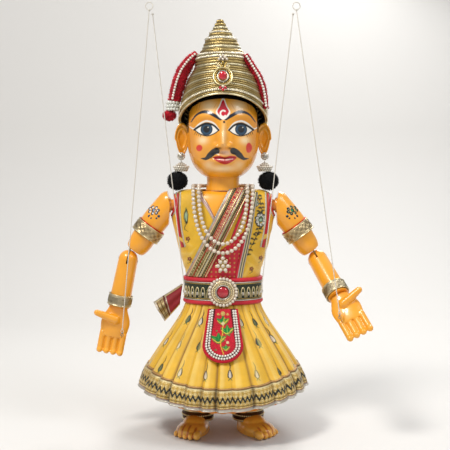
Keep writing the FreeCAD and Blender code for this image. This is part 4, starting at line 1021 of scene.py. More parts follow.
def paint_vest(x, y, z, creases):
    """Yellow satin with an embroidered vine, a bud and small flowers in front and rows of sprigs behind."""
    paint = np.tile(YELLOW, (len(x), 1))
    front = y < 0
    spots = np.where(front[:, None], np.stack([x, z], -1), 999.0)
    # painted highlight: paler yellow along the raised folds
    lay(paint, 0.3 * creases, tone("f8dc7c"))
    ink, leaf_green = tone("141a10"), tone("2c6a34")
    vine = curve([(45, 322), (50, 306), (49, 290), (47, 274), (41, 260), (31, 240)], 60)
    lay(paint, stroke(spots, vine, 0.9), ink)
    for i in range(3, 60, 4):
        spot = vine[i]
        for lean in (-1, 1):
            tip = spot + np.array([lean * chance.uniform(3.5, 5.5), chance.uniform(-1, 3.5)])
            lay(paint, stroke(spots, curve([spot, (spot + tip) / 2 + [0, 1.2], tip], 8), 2.6, (0.3, 0.5)),
                ink)
            lay(paint, disc(spots, *((spot + tip) / 2), 0.7), leaf_green if i % 8 == 3 else tone("8a5a20"))
    for centre, size in (((49.5, 287), 1.0), ((44, 309), 0.45)):
        for turn in circle(9):
            petal = np.array(centre) + 6.4 * size * np.array([0.8 * math.cos(turn), 1.15 * math.sin(turn)])
            lay(paint, disc(spots, *petal, 2.9 * size), ink)
            lay(paint, disc(spots, *(centre + (petal - centre) * 0.88), 1.7 * size), WHITE)
            lay(paint, stroke(spots, np.array([centre, petal]), 0.9 * size, (1, 0.6)), leaf_green)
        lay(paint, disc(spots, *centre, 3.0 * size), ink)
        lay(paint, disc(spots, *centre, 2.1 * size), tone("9fc3a0"))
    bud = curve([(-48.5, 303), (-45.5, 292), (-47.5, 281), (-51.5, 290)], 40, closed=True)
    middle_spot = bud.mean(0)
    lay(paint, filled(spots, bud), ink)
    lay(paint, filled(spots, middle_spot + (bud - middle_spot) * 0.62), tone("a9c29c"))
    lay(paint, stroke(spots, np.array([(-48.5, 303.0), (-49.5, 282)]), 0.8), leaf_green)
    lay(paint, stroke(spots, curve([(-49, 281), (-50.5, 275), (-46, 272)], 12), 1.0, (1, 0.4)), ink)
    for centre in ((-44, 235), (37.5, 222), (-46, 262), (50, 236), (-52, 214)):
        for turn in circle(5):
            petal = np.array(centre) + 2.0 * np.array([math.cos(turn), math.sin(turn)])
            lay(paint, disc(spots, *petal, 1.2), tone("7c1410"))
        lay(paint, disc(spots, *centre, 0.9), GOLD)
        stalk = curve([centre, (centre[0] + 1, centre[1] - 4), (centre[0] - 3, centre[1] - 6)], 10)
        lay(paint, stroke(spots, stalk, 0.9, (1, 0.4)), ink)
    back = np.where(front[:, None], 999.0, np.stack([x, z], -1))
    for row in range(5):
        for number in range(-2, 3):
            spot = (number * 22 + 11 * (row % 2), 222 + row * 20)
            lay(paint, disc(back, *spot, 1.9), RED)
            lay(paint, stroke(back, np.array([spot, (spot[0], spot[1] - 5)]), 0.8), GREEN)
    sash_side, ribbon_side = 1.5 + (z - 262.4) * 0.507, 19.0 + (z - 206) * 0.2
    cloth_here = front & (z > 208) & (x > sash_side) & (x < ribbon_side) & (z < 250 + 0.8 * x)
    paint[cloth_here] = RED
    lay(paint, cloth_here * disc(np.mod(spots, 6) - 3, 0, 0, 1.0), GOLD)
    return paint


def vest():
    """The blouse, laid over the CAD shell wherever that shell is."""
    form = Form(YELLOW)
    around = circle(330)
    foot, turn_z = low("vest")[2] + 0.3, 288.0
    fan = np.radians(np.linspace(0, 62, 52))
    levels = [(z, 0.0) for z in np.linspace(foot, turn_z, 84)] + [(turn_z, lift) for lift in fan[1:]]
    rows, there = [], []
    for z, lift in levels:
        row, hits = [], []
        for angle in around:
            flat_way = np.array([math.sin(angle), -math.cos(angle), 0]) * math.cos(lift)
            way = flat_way + [0, 0, math.sin(lift)]
            start = np.array([0, 0, z]) + way * 160
            hit, wood = cast("vest", start, -way), cast("torso", start, -way)
            good = hit is not None
            if good and wood is not None:
                good = np.linalg.norm(hit - start) < np.linalg.norm(wood - start)
            row.append(hit + way * 0.3 if good else (wood if wood is not None else start - way * 120))
            hits.append(good)
        rows.append(row)
        there.append(hits)
    rows, there = np.array(rows), np.array(there)
    flat = rows.reshape(-1, 3)
    x, y, z = flat.T
    out = flat * [1, 1, 0] / np.maximum(np.linalg.norm(flat[:, :2], axis=1), 1)[:, None]
    creases = np.zeros(len(x))
    folds = (((-50, 214), (-30, 236)), ((-54, 222), (-36, 250)), ((50, 214), (30, 234)),
             ((54, 224), (34, 246)), ((-58, 262), (-40, 252)), ((60, 268), (44, 258)),
             ((24, 205), (34, 226)), ((-56, 240), (-40, 243)))
    for fold in folds:
        creases += stroke(np.stack([x, z], -1), np.array(fold, float), 5.0, (0.9, 0.2), 1.6)
    flat += out * (0.55 * creases + 0.25 * np.sin(x * 0.35 + z * 0.22) * smooth(z, 200, 215))[:, None]
    paint = paint_vest(x, y, z, creases)
    paint = paint.reshape(*rows.shape[:2], 4).swapaxes(0, 1).reshape(-1, 4)
    patch(form, rows.swapaxes(0, 1), there.T, paint)
    return form.make("vest_cloth", SATIN, "torso", ["vest"], thick=1.0)


def vest_trims():
    """Piping and bead rows round the armholes, ribbons at the neckline and beside the sash."""
    trims = Form(RED)
    for s in SIDES.values():
        for radius, wire, colour in ((13.8, 1.5, RED), (16.6, 1.1, SILVER)):
            path = []
            for turn in circle(60):
                spot = (s * 160, radius * math.cos(turn), 306 + radius * math.sin(turn))
                hit = cast("vest", spot, (-s, 0, 0))
                path.append(hit if hit is not None and hit[0] * s > 30 else (s * 60, spot[1], spot[2]))
            trims.tube(path, wire, 8, closed=True, paint=colour)
        edge = [(s * 30.5, 326), (s * 27.5, 316), (s * 19, 303), (s * 10, 287), (s * 4.5, 273)]
        ribbon(trims, "vest", edge, 5.4, 0.9, [SILVER, tone("c98d84"), SILVER, tone("a8606a"), SILVER, GOLD])
        armhole = [(s * 60.6, 322), (s * 60.8, 300), (s * 58.6, 276), (s * 53.5, 250)]
        ribbon(trims, "vest", armhole, 4.0, 1.3, [RED, RED, tone("8a0a16")])
        seam = [(s * 56.6, 323), (s * 56.8, 300), (s * 54.8, 276), (s * 50, 252)]
        beads = ribbon_path("vest", seam, 0.9, 44)
        for spot in beads:
            trims.ball(spot, 1.15, segments=8, paint=SILVER)
        trims.tube(np.array(beads) - [s * 2.6, 0, 0], 0.5, 6, paint=tone("5c4a20", 0.5))
    ribbon(trims, "vest", [(42, 324), (37.5, 300), (34.5, 280), (30, 255), (24, 228), (20, 206)], 9.0, 1.9,
           [RED, RED, SILVER, tone("5a5138", 0.4), PALE_GOLD, tone("5a5138", 0.4), SILVER])
    ribbon(trims, "vest", [(33, 324), (27.5, 302), (20.5, 284), (12, 262)], 4.4, 2.4,
           [tone("8a0a16"), RED, RED, PALE_GOLD])
    return trims.make("vest_trims", BROCADE, "torso", [], thick=0.6)


def ribbon_path(node, path, lift, count=40):
    """Points on the front of a CAD node along a path of (x, z).

    A point beside the node takes the depth of its neighbours.
    """
    line = curve(path, count)
    hits = [cast(node, (x, -200, z), (0, 1, 0)) for x, z in line]
    found = [i for i, hit in enumerate(hits) if hit is not None and hit[1] < 0]
    depth = np.interp(np.arange(count), found, [hits[i][1] for i in found])
    return [(x, y - lift, z) for (x, z), y in zip(line, depth)]


def ribbon(form, node, path, across, lift, colours):
    """A flat band on the front of a CAD node along a path of (x, z), striped across."""
    line = curve(path, 50)
    way = np.gradient(line, axis=0)
    side = np.stack([-way[:, 1], way[:, 0]], -1)
    side /= np.linalg.norm(side, axis=1)[:, None]
    rows = []
    for share in np.linspace(-0.5, 0.5, 2 * len(colours)):
        shifted = line + side * share * across
        rows.append(ribbon_path(node, shifted, lift, 50))
    paint = np.repeat(np.repeat(np.array(colours), 2, 0)[:, None], 50, 1)
    form.grid(rows, paint=paint)


def sash():
    """The brocade band from the left shoulder to the right hip and round the back."""
    form = Form()
    lean = math.radians(26.9)
    along = np.array([math.sin(lean), 0, math.cos(lean)])
    across = np.array([math.cos(lean), 0, -math.sin(lean)])
    centre = np.array([-8, 0, 268.0])
    wide = 12.4
    turns = circle(300)
    shares = np.linspace(-wide, wide, 46)
    rows, there = [], []
    for turn in turns:
        way = math.cos(turn) * along - math.sin(turn) * np.array([0, -1.0, 0])
        row, hits = [], []
        for w in shares:
            start = centre + across * w + way * 160
            hit = cast("sash", start, -way)
            good = hit is not None and np.linalg.norm(hit - start) < 145 and (hit - centre) @ way > 20
            ripple = 0.5 + 0.25 * math.sin(w * 1.1 + 3 * math.sin(5 * turn))
            row.append(hit + way * ripple if good else start)
            hits.append(good)
        rows.append(row)
        there.append(hits)
    rows, there = np.array(rows), np.array(there)
    w = np.broadcast_to(shares, there.shape).ravel()
    far = np.broadcast_to((turns * 62)[:, None], there.shape).ravel()
    paint = brocade(w, far, tone("14100c"), GOLD, 2.6)
    red = brocade(w + 1, far, tone("a80f22"), PALE_GOLD, 2.2)
    olive = brocade(w, far, tone("6d5a1c", 0.4), PALE_GOLD, 1.9)
    height = rows.reshape(-1, 3)[:, 2]
    plans = ((-wide, -10.0, SILVER, 0), (-10.0, -9.2, RED, 0), (-9.2, -7.8, PALE_GOLD, 0),
             (-7.4, 1.0, olive, -246), (-2.6, 4.6, red, 246), (4.6, 6.0, PALE_GOLD, 0),
             (6.0, 10.4, paint.copy(), 0), (10.4, wide + 0.1, RED, 0))
    for start, stop, colour, limit in plans:
        inside = (w >= start) & (w < stop)
        if limit > 0:
            inside &= height > limit
        if limit < 0:
            inside &= height < -limit
        paint[inside] = colour[inside] if np.ndim(colour) == 2 else colour
    patch(form, rows, there, paint)
    made = form.make("sash_cloth", BROCADE, "torso", ["sash"], thick=0.9)

    cords = Form(SILVER)
    piping = ((1, 0.95, SILVER), (17, 0.6, RED), (26, 0.8, PALE_GOLD), (31, 0.7, SILVER),
              (44, 0.9, PALE_GOLD))
    for edge, size, colour in piping:
        run = []
        for i in range(len(turns) + 1):
            j = i % len(turns)
            if there[j, edge] and i < len(turns):
                spot = rows[j, edge]
                run.append(spot + 0.3 * (spot - centre) / np.linalg.norm(spot - centre))
            elif len(run) > 4:
                cords.tube(run, size * (1 + 0.18 * np.sin(np.arange(len(run)) * 1.9)), 7, paint=colour)
                run = []
            else:
                run = []
    cords.make("sash_cords", GILT, "torso", [])
    return made


def patch(form, rows, there, paint, around=True):
    """The part of a grid of rows that is there, joined round."""
    deep, wide = there.shape
    index = np.arange(deep * wide).reshape(deep, wide)
    faces = []
    for i in range(deep if around else deep - 1):
        k = (i + 1) % deep
        for j in range(wide - 1):
            if there[i, j] and there[i, j + 1] and there[k, j] and there[k, j + 1]:
                faces.append((index[i, j], index[i, j + 1], index[k, j + 1], index[k, j]))
    used = np.unique(np.array(faces))
    renumber = np.full(deep * wide, -1)
    renumber[used] = np.arange(len(used))
    form.add(rows.reshape(-1, 3)[used], [tuple(renumber[list(face)]) for face in faces], paint[used])


def sash_tail():
    """The loose end of the sash, standing out at the right hip."""
    form = Form(RED)
    tail = np.array([[-55.5, 15, 198], [-96, 15, 172], [-80.3, 15, 145.3], [-59.5, 15, 169]])
    count = 44
    u, v = np.meshgrid(np.linspace(0, 1, count), np.linspace(0, 1, count))
    top = tail[0] + (tail[1] - tail[0]) * u[..., None]
    foot = tail[3] + (tail[2] - tail[3]) * u[..., None]
    rows = top + (foot - top) * v[..., None]
    rows[..., 1] += 1.6 * np.sin(7 * v + 2 * u) * (0.3 + u) + 0.8 * np.sin(13 * v)
    u, v = u.ravel(), v.ravel()
    paint = np.tile(tone("960f1e"), (count * count, 1))
    end = brocade(u * 46, v * 36, tone("6d5420", 0.4), tone("e2d2a2", 0.6), 1.8)
    far = u > 0.60
    paint[far] = end[far]
    edge = np.minimum(v, 1 - v) * 34
    for gap, colour in ((4.2, tone("6a0a14")), (3.2, PALE_GOLD), (1.4, SILVER)):
        lay(paint, (edge < gap) & (v < 0.5), colour)
    lay(paint, (edge < 1.6) & (v > 0.5), PALE_GOLD)
    for share, colour in ((0.60, SILVER), (0.66, tone("5c1014")), (0.97, SILVER)):
        lay(paint, np.abs(u - share) < 0.018, colour)
    form.grid(rows, paint=paint)
    return form.make("sash_tail_cloth", BROCADE, "torso", ["sash_tail"], thick=1.2)


# ---- Belt ----------------------------------------------------------------------------------------
def belt():
    """A dark brocade belt with gold arches, between two rolls of red piping."""
    form = Form()
    wide, deep = high("waist_belt")[0], high("waist_belt")[1]
    foot, top = low("waist_belt")[2], high("waist_belt")[2]
    around = circle(480)

    def ring_at(proud, z):
        x, y = (wide + proud) * np.sin(around), -(deep + proud) * np.cos(around)
        return np.stack([x, y, np.full(480, z)], -1)

    levels = np.linspace(foot + 5.0, top - 5.0, 30)
    rows = [ring_at(-1.0 + 0.15 * math.sin(z), z) for z in levels]
    rows = [ring_at(-3, levels[0])] + rows + [ring_at(-3, levels[-1])]
    far = around * (wide + deep) / 2
    paint = []
    for row in rows:
        z = row[0, 2]
        shade = np.tile(tone("10180e"), (480, 1))
        lay(shade, smooth(np.sin(far * 1.9) * math.sin(z * 1.7), 0.45, 0.7), tone("3d5a1e", 0.2))
        paint.append(shade)
    form.grid(rows, around=True, along=True, paint=np.array(paint))
    cords = ((-1.9, 3.0, 2.9, RED), (-0.5, 6.4, 0.8, SILVER), (-0.9, 8.2, 0.5, GOLD))
    for proud, inward, wire, colour in cords:
        for z in (foot + inward, top - inward):
            form.tube(ring_at(proud, z), wire, 10, closed=True, paint=colour)
    arches = 36
    for number in range(arches):
        middle_turn = 2 * math.pi * number / arches
        path = []
        for t in np.linspace(0, math.pi, 13):
            turn = middle_turn + 0.062 * math.cos(t)
            z = foot + 9.6 + 13.5 * math.sin(t)
            path.append([(wide - 0.5) * math.sin(turn), -(deep - 0.5) * math.cos(turn), z])
        form.tube(path, 0.75, 6, paint=PALE_GOLD)
        bud = [(wide - 0.6) * math.sin(middle_turn), -(deep - 0.6) * math.cos(middle_turn), foot + 14.5]
        form.ball(bud, 1.7, (1, 1, 1.5), 8, SILVER)
    return form.make("belt_cloth", BROCADE, "torso", ["waist_belt"])


def buckle():
    """The round brooch of the belt: a stepped plate, rings of pearls and a red glass middle."""
    form = Form(tone("c3ab8c", 0.75))
    centre = middle("belt_buckle")
    back = high("belt_buckle")[1]
    centre[1] = back

    plate = [(17.8, 0.0), (18.2, 1.6), (15.6, 3.4), (15.0, 4.0), (12.8, 4.2), (12.2, 4.8), (9.8, 4.9),
             (9.0, 4.0), (0, 4.0)]
    form.lathe(plate, centre, (0, -1, 0), 72)
    rims = ((17.6, 25, 2.25, 3.0, PEARL, 1), (13.9, 40, 1.0, 4.3, tone("efe0b4"), 1),
            (11.2, 30, 1.05, 5.0, PALE_GOLD, 0))
    for radius, count, size, proud, colour, slot in rims:
        form.beads(centre - [0, proud, 0], radius, count, size, facing=True, segments=12, paint=colour,
                   slot=slot)
    form.ring(centre - [0, 5.2, 0], (0, 1, 0), 9.1, 0.9, 48, 8, paint=SILVER)
    form.ball(centre - [0, 4.4, 0], 7.4, (1, 0.5, 1), 36, tone("b00c24"), slot=2)
    return form.make("belt_brooch", [GILT, PEARLS, GEM], "torso", ["belt_buckle"])


# ---- Skirt ---------------------------------------------------------------------------------------
HEM_Z = low("skirt_border")[2] - 5.0
SKIRT_TOP = high("skirt")[2]
SWEEP = 480.0
BORDER = 28.0


def fallen(z):
    """How far a height is down the skirt, from 0 at the waist to 1 at the hem."""
    return np.clip((SKIRT_TOP - z) / (SKIRT_TOP - HEM_Z), 0, 1)


def skirt_radius():
    """Tables of the skirt's polar radius over height and angle, read off the CAD solids."""
    angles = np.linspace(-math.pi, math.pi, 73)
    heights = np.linspace(SKIRT_TOP - 0.5, HEM_Z + 0.5, 44)
    table = np.zeros((len(heights), len(angles)))
    for j, angle in enumerate(angles):
        last = 40.0
        for i, z in enumerate(heights):
            hits = [round_body(node, angle, z) for node in ("skirt", "skirt_border")]
            sizes = [math.hypot(h[0], h[1]) for h in hits if h is not None]
            last = max(sizes) if sizes else last + 0.2
            table[i, j] = last
    return angles, heights, table


def skirt_at(table, angle, z):
    """The skirt's radius between the entries of the table."""
    angles, heights, sizes = table
    down = np.clip((heights[0] - z) / (heights[0] - heights[-1]), 0, 1) * (len(heights) - 1)
    turn = (np.mod(angle + math.pi, 2 * math.pi)) / (2 * math.pi) * (len(angles) - 1)
    i, j = np.minimum(down.astype(int), len(heights) - 2), np.minimum(turn.astype(int), len(angles) - 2)
    f, g = down - i, turn - j
    upper = sizes[i, j] * (1 - g) + sizes[i, j + 1] * g
    lower = sizes[i + 1, j] * (1 - g) + sizes[i + 1, j + 1] * g
    return upper * (1 - f) + lower * f


def pleat(angle, down):
    """How far a fold lies below the outermost cloth, from the waist at 0 to the hem at 1."""
    wobble = 0.9 * np.sin(3 * angle + 1) + 0.6 * np.sin(7 * angle) + 0.7 * down * np.sin(5 * angle + 2)
    turn = np.mod((27 * angle + wobble) / (2 * math.pi), 1)
    wave = np.where(turn < 0.78, (turn / 0.78) ** 2.4, (1 - turn) / 0.22)
    deep = (1.5 + 5.2 * down) * (0.62 + 0.38 * np.sin(5 * angle + 2.2) ** 2)
    split = 6.5 * down * np.exp(-(((angle + 0.135) / 0.026) ** 2))
    return deep * wave + split


def motif(paint, u, w, kind):
    """A slender flower bud on a long stalk. u and w are millimetres from its middle."""
    spots = np.stack([u, w], -1)
    drop = np.clip(1 - (w / 4.6) ** 2, 0, None) ** 0.5 * (2.1 - 0.22 * w)
    inside = np.where(np.abs(w) < 4.6, np.abs(u) - drop, 9.0)
    fill = tone("e8e0cc") if kind == 0 else tone("4a6a3c")
    lay(paint, 1 - smooth(inside, 0.8, 1.3), tone("160f0a"))
    lay(paint, 1 - smooth(inside, -0.8, -0.3), fill)
    stalk = curve([(0, 4.4), (0.9, 9), (-0.4, 14)], 10)
    lay(paint, stroke(spots, stalk, 1.2, (0.9, 0.4)), tone("33200c"))
    for side in (-1, 1):
        leaf = np.array([(0, -4.6), (side * 2.6, -7.4)])
        lay(paint, stroke(spots, leaf, 1.1, (1, 0.4)), tone("35521c"))
    lay(paint, 0.5 * stroke(spots, np.array([(0, -2.6), (0, 2.0)]), 0.7), tone("b3611e"))


def skirt():
    """The pleated silk with its scattered buds, and the brocade border at the hem."""
    table = skirt_radius()
    columns = 900
    angle = circle(columns)
    edge_x = skirt_at(table, angle, np.full(columns, HEM_Z + 4)) * np.sin(angle)
    hem = HEM_Z + edge_x**2 / (2 * SWEEP)
    seam = hem + BORDER

    def layer(start, stop, count, inward):
        rows = []
        for share in np.linspace(0, 1, count):
            z = start + (stop - start) * share
            down = fallen(z)
            r = skirt_at(table, angle, z) - pleat(angle, down) - inward
            rows.append(polar(r, angle, z))
        return np.array(rows)

    top = np.full(columns, SKIRT_TOP)
    outer, inner = layer(top, seam, 120, 0.0), layer(seam, top, 12, 1.3)
    flat = outer.reshape(-1, 3)
    turns = np.tile(angle, len(outer))
    z = flat[:, 2]
    down = fallen(z)
    silk = tone("e6b325")
    paint = np.tile(silk, (len(flat), 1))
    around = np.hypot(flat[:, 0], flat[:, 1])
    for number, (level, count, shift) in enumerate(((0.16, 17, 0.2), (0.38, 15, 0.7), (0.66, 17, 0.15))):
        spacing = 2 * math.pi / count
        turn = turns / spacing + shift
        cell = np.floor(turn)
        wander = np.sin(cell * 12.9898 + number * 78.2) * 0.5
        local = (turn - cell - 0.5 - 0.22 * wander) * spacing * around
        rise = z - (SKIRT_TOP - (level + 0.05 * wander) * (SKIRT_TOP - HEM_Z))
        near = (np.abs(local) < 4.5) & (np.abs(rise) < 16)
        for kind in (0, 1):
            chosen = near & (np.mod(cell, 3) == 2 if kind else np.mod(cell, 3) != 2)
            part = paint[chosen]
            motif(part, local[chosen], rise[chosen], kind)
            paint[chosen] = part
    # painted shade in the pleat valleys and a painted highlight along the pleat crests
    valley = pleat(turns, down) / (1.5 + 5.2 * down)
    lay(paint, 0.75 * smooth(valley, 0.45, 1.0), tone("6e430c"))
    lay(paint, 0.35 * (1 - smooth(valley, 0.0, 0.12)), tone("f7dc80"))
    rows = np.concatenate([outer, inner])
    # painted shade: the inside of the skirt is a darker copy of the silk
    shade = np.concatenate([paint.reshape(*outer.shape[:2], 4),
                            np.tile(silk * [0.6, 0.5, 0.4, 1], (len(inner), columns, 1))])
    form = Form(silk)
    form.grid(rows, around=True, along=True, paint=shade)
    form.make("skirt_cloth", SATIN, "torso", ["skirt"])

    outer, inner = layer(seam + 0.6, hem, 40, -0.8), layer(hem, seam, 6, 1.4)
    flat = outer.reshape(-1, 3)
    turns = np.tile(angle, len(outer))
    rise = np.repeat(np.linspace(BORDER, 0, 40), columns)
    far = turns * 106
    paint = brocade(far, rise, tone("c29a3e", 0.5), tone("f9eab4", 0.5), 1.7)
    speck = np.sin(far * 2.3) * np.sin(rise * 2.7 + np.sin(far))
    lay(paint, 0.8 * smooth(speck, 0.72, 0.9), tone("5a4420"))
    zigzag = np.abs(np.mod(far, 6.4) / 3.2 - 1)
    path = np.abs(rise - (11.0 + 5.6 * zigzag))
    lay(paint, 1 - smooth(path, 1.9, 2.4), tone("0b120e"))
    lines = ((27.2, 0.8, tone("b98a50", 0.5)), (25.6, 0.5, tone("5a3a18")), (24.2, 0.8, PALE_GOLD),
             (6.4, 0.5, tone("4a3a1c")), (3.4, 0.8, tone("8c5a50")), (0.9, 2.0, SILVER))
    for level, wide, colour in lines:
        lay(paint, 1 - smooth(np.abs(rise - level), wide - 0.2, wide + 0.2), colour)
    # painted shade in the border's pleat valleys
    valley = pleat(turns, np.ones(len(turns))) / 6.7
    lay(paint, 0.8 * smooth(valley, 0.45, 1.0), tone("2c1c08", 0.2))
    # painted shade: the inside of the border is painted dark brown
    shade = np.concatenate([paint.reshape(*outer.shape[:2], 4),
                            np.tile(tone("6a4416"), (len(inner), columns, 1))])
    border = Form(GOLD)
    border.grid(np.concatenate([outer, inner]), around=True, along=True, paint=shade)
    for level, wire, colour in ((27.4, 0.5, tone("c79a5c", 0.5)), (0.6, 0.95, SILVER)):
        z = hem + level
        r = skirt_at(table, angle, z) - pleat(angle, fallen(z)) + 1.0
        border.tube(polar(r, angle, z), wire, 6, closed=True, paint=colour)
    return border.make("skirt_border_cloth", BROCADE, "torso", ["skirt_border"])


def petticoat():
    """The cotton underskirt, whose edge shows below the hem."""
    cotton = tone("e58a1f")
    angle = circle(300)
    top, foot = high("petticoat")[2], low("petticoat")[2] - 7.5
    heights = np.linspace(top - 0.4, foot, 46)
    coarse = np.linspace(0, 2 * math.pi, 61)
    rows = []
    for z in heights:
        level = max(z, low("petticoat")[2] + 0.4)
        sizes = [math.hypot(*round_body("petticoat", a, level)[:2]) for a in coarse[:-1]]
        r = np.interp(angle, coarse, sizes + sizes[:1])
        down = (top - z) / (top - foot)
        r = r - (0.3 + 3.4 * down) * (0.5 - 0.5 * np.cos(36 * angle + np.sin(4 * angle)))
        sweep = down * (r * np.sin(angle)) ** 2 / (2 * SWEEP)
        rows.append(polar(r, angle, z + sweep))
    rows = np.array(rows)
    inner = rows[::-4].copy()
    size = np.linalg.norm(inner[..., :2], axis=-1, keepdims=True)
    inner[..., :2] *= (size - 1.2) / size
    form = Form(cotton)
    form.grid(np.concatenate([rows, inner]), around=True, along=True)
    return form.make("petticoat_cloth", COTTON, "torso", ["petticoat"])


# ---- Apron ---------------------------------------------------------------------------------------
PANEL_LEAN = math.radians(32.4)
PANEL_LONG, PANEL_WIDE, PANEL_THICK = 76.0, 25.0, 2.4


def panel_spot(u, v, proud=0.0):
    """A point on the apron: u across, v down from its hinge, and proud of its front."""
    hinge = np.array([0, high("front_panel")[1] - PANEL_THICK / 2 * math.cos(PANEL_LEAN), 173.5])
    down = np.array([0, -math.sin(PANEL_LEAN), -math.cos(PANEL_LEAN)])
    out = np.array([0, -math.cos(PANEL_LEAN), math.sin(PANEL_LEAN)])
    u, v, proud = np.broadcast_arrays(np.asarray(u, float), v, proud)
    return hinge + u[..., None] * [1, 0, 0] + v[..., None] * down + (PANEL_THICK / 2 + proud)[..., None] * out


def panel_half(v):
    """Half the apron's width at a distance down from its hinge."""
    straight = 0.7 * PANEL_LONG
    curved = PANEL_WIDE * np.sqrt(np.clip(1 - ((v - straight) / (PANEL_LONG - straight)) ** 2, 0, 1))
    return np.where(v < straight, PANEL_WIDE * (0.72 + 0.28 * v / straight), curved)


def front_panel():
    """The velvet apron: dark border, leaf sprays, buds and two rows of pearls."""
    form = Form(RED)
    start = 3.0
    v = start + (PANEL_LONG - start) * (1 - (1 - np.linspace(0, 1, 100)) ** 1.5) * 0.9995
    share = np.sin(np.linspace(-math.pi / 2, math.pi / 2, 70))
    us = np.outer(panel_half(v), share)
    vs = np.broadcast_to(v[:, None], us.shape)
    outline = np.array([(s * float(panel_half(d)), d) for s, run in ((1, v), (-1, v[::-1])) for d in run])
    spots = np.stack([us.ravel(), vs.ravel()], -1)
    inset, _ = distance(spots, outline)
    paint = np.tile(tone("c00f28"), (len(spots), 1))
    lay(paint, smooth(np.sin(spots[:, 0] * 2.2) * np.sin(spots[:, 1] * 2.2), 0.6, 0.8) * 0.4, tone("e8475a"))
    lay(paint, inset < 9.2, tone("8f0a1c"))
    lay(paint, (inset < 8.4) & (inset > 2.2), tone("4c0812"))
    lay(paint, inset < 2.2, tone("b80c24"))
    relief = 0.5 * smooth(-inset, -2.4, -1.6)
    sprays = ((0, 19.5, 7.0, 5.4), (5.5, 32.5, 7.4, 5.8), (-5.5, 44, 8.4, 6.2), (4, 57, 4.2, 3.6))
    for u, d, wide, tall in sprays:
        foot = np.array([u, d + 0.8 * tall])
        for lean, reach in ((-1, 0.35), (1, 0.35), (0, 0.95)):
            tip = np.array([u + lean * wide, d - reach * tall])
            blade = stroke(spots, np.array([foot, (foot + tip) / 2, tip]), tall * 1.25, (0.75, 0.35), 0.4)
            lay(paint, blade, tone("0d7a34"))
            lay(paint, 0.7 * stroke(spots, np.array([foot, tip]), 0.7, (1, 0.3)), tone("7ac95a"))
            relief = np.maximum(relief, 0.7 * blade)
        curl = curve([(u - wide, d + 0.1 * tall), (u, d + tall), (u + wide, d - 0.2 * tall)], 20)
        lay(paint, stroke(spots, curl, 1.2, (0.5, 0.9)), tone("e6c64a"))
    stem = curve([(2, 16), (0, 28), (-1, 40), (-3, 52), (1, 66)], 40)
    lay(paint, stroke(spots, stem, 1.0), tone("d8c23a"))
    buds = ((0, 24, 2.2, PALE_GOLD), (6, 50, 1.9, PALE_GOLD), (-2, 69, 1.8, LEAF), (8, 40, 1.2, LEAF),
            (-8, 34, 1.2, LEAF), (0, 10, 3.0, GOLD), (-6, 11, 1.6, GOLD), (6, 11, 1.6, GOLD),
            (-9, 60, 1.1, LEAF), (3, 47, 1.3, tone("e8475a")))
    for u, d, size, colour in buds:
        flower = disc(spots, u, d, size)
        lay(paint, flower, colour)
        relief = np.maximum(relief, 0.8 * flower)
    front = panel_spot(us, vs, relief.reshape(us.shape))
    back = panel_spot(us, vs, -PANEL_THICK)
    rows = np.concatenate([front, back[:, ::-1]], axis=1)
    lining = np.tile(tone("8f0a1c"), (*us.shape, 1))
    both = np.concatenate([paint.reshape(*us.shape, 4), lining], axis=1)
    form.grid(rows, around=True, ends=True, paint=both)
    for gap in (3.6, 7.2):
        straight, curved = 0.7 * PANEL_LONG, 0.3 * PANEL_LONG
        across = outline[:, 0] * (PANEL_WIDE - gap) / PANEL_WIDE
        down = np.where(outline[:, 1] > straight,
                        straight + (outline[:, 1] - straight) * (1 - gap / curved), outline[:, 1])
        loop = np.stack([across, down], -1)
        length = np.concatenate([[0], np.cumsum(np.linalg.norm(np.diff(loop, axis=0), axis=1))])
        for far in np.arange(3.5, length[-1] - 2.5, 3.5):
            u, d = np.interp(far, length, loop[:, 0]), np.interp(far, length, loop[:, 1])
            form.ball(panel_spot(u, d, 0.9), 1.62, segments=10, paint=tone("ece6da"), slot=1)
    rim = panel_spot(outline[:, 0], outline[:, 1], -PANEL_THICK / 2)
    form.tube(rim, 1.35, 8, paint=tone("c50d27"))
    return form.make("front_panel_velvet", [VELVET, PEARLS], "front_panel", ["front_panel"])


# ---- Pearls --------------------------------------------------------------------------------------
def solids(node):
    """The middle of each separate solid in a CAD node."""
    mesh = NODES[node].data
    points = corners(mesh)
    edges = np.empty(len(mesh.edges) * 2, int)
    mesh.edges.foreach_get("vertices", edges)
    edges = edges.reshape(-1, 2)
    label = np.arange(len(points))
    while True:
        lower = label.copy()
        np.minimum.at(lower, edges[:, 0], label[edges[:, 1]])
        np.minimum.at(lower, edges[:, 1], label[edges[:, 0]])
        lower = lower[lower]
        if (lower == label).all():
            break
        label = lower
    groups = [points[label == each] for each in np.unique(label)]
    return np.array([(group.min(0) + group.max(0)) / 2 for group in groups])


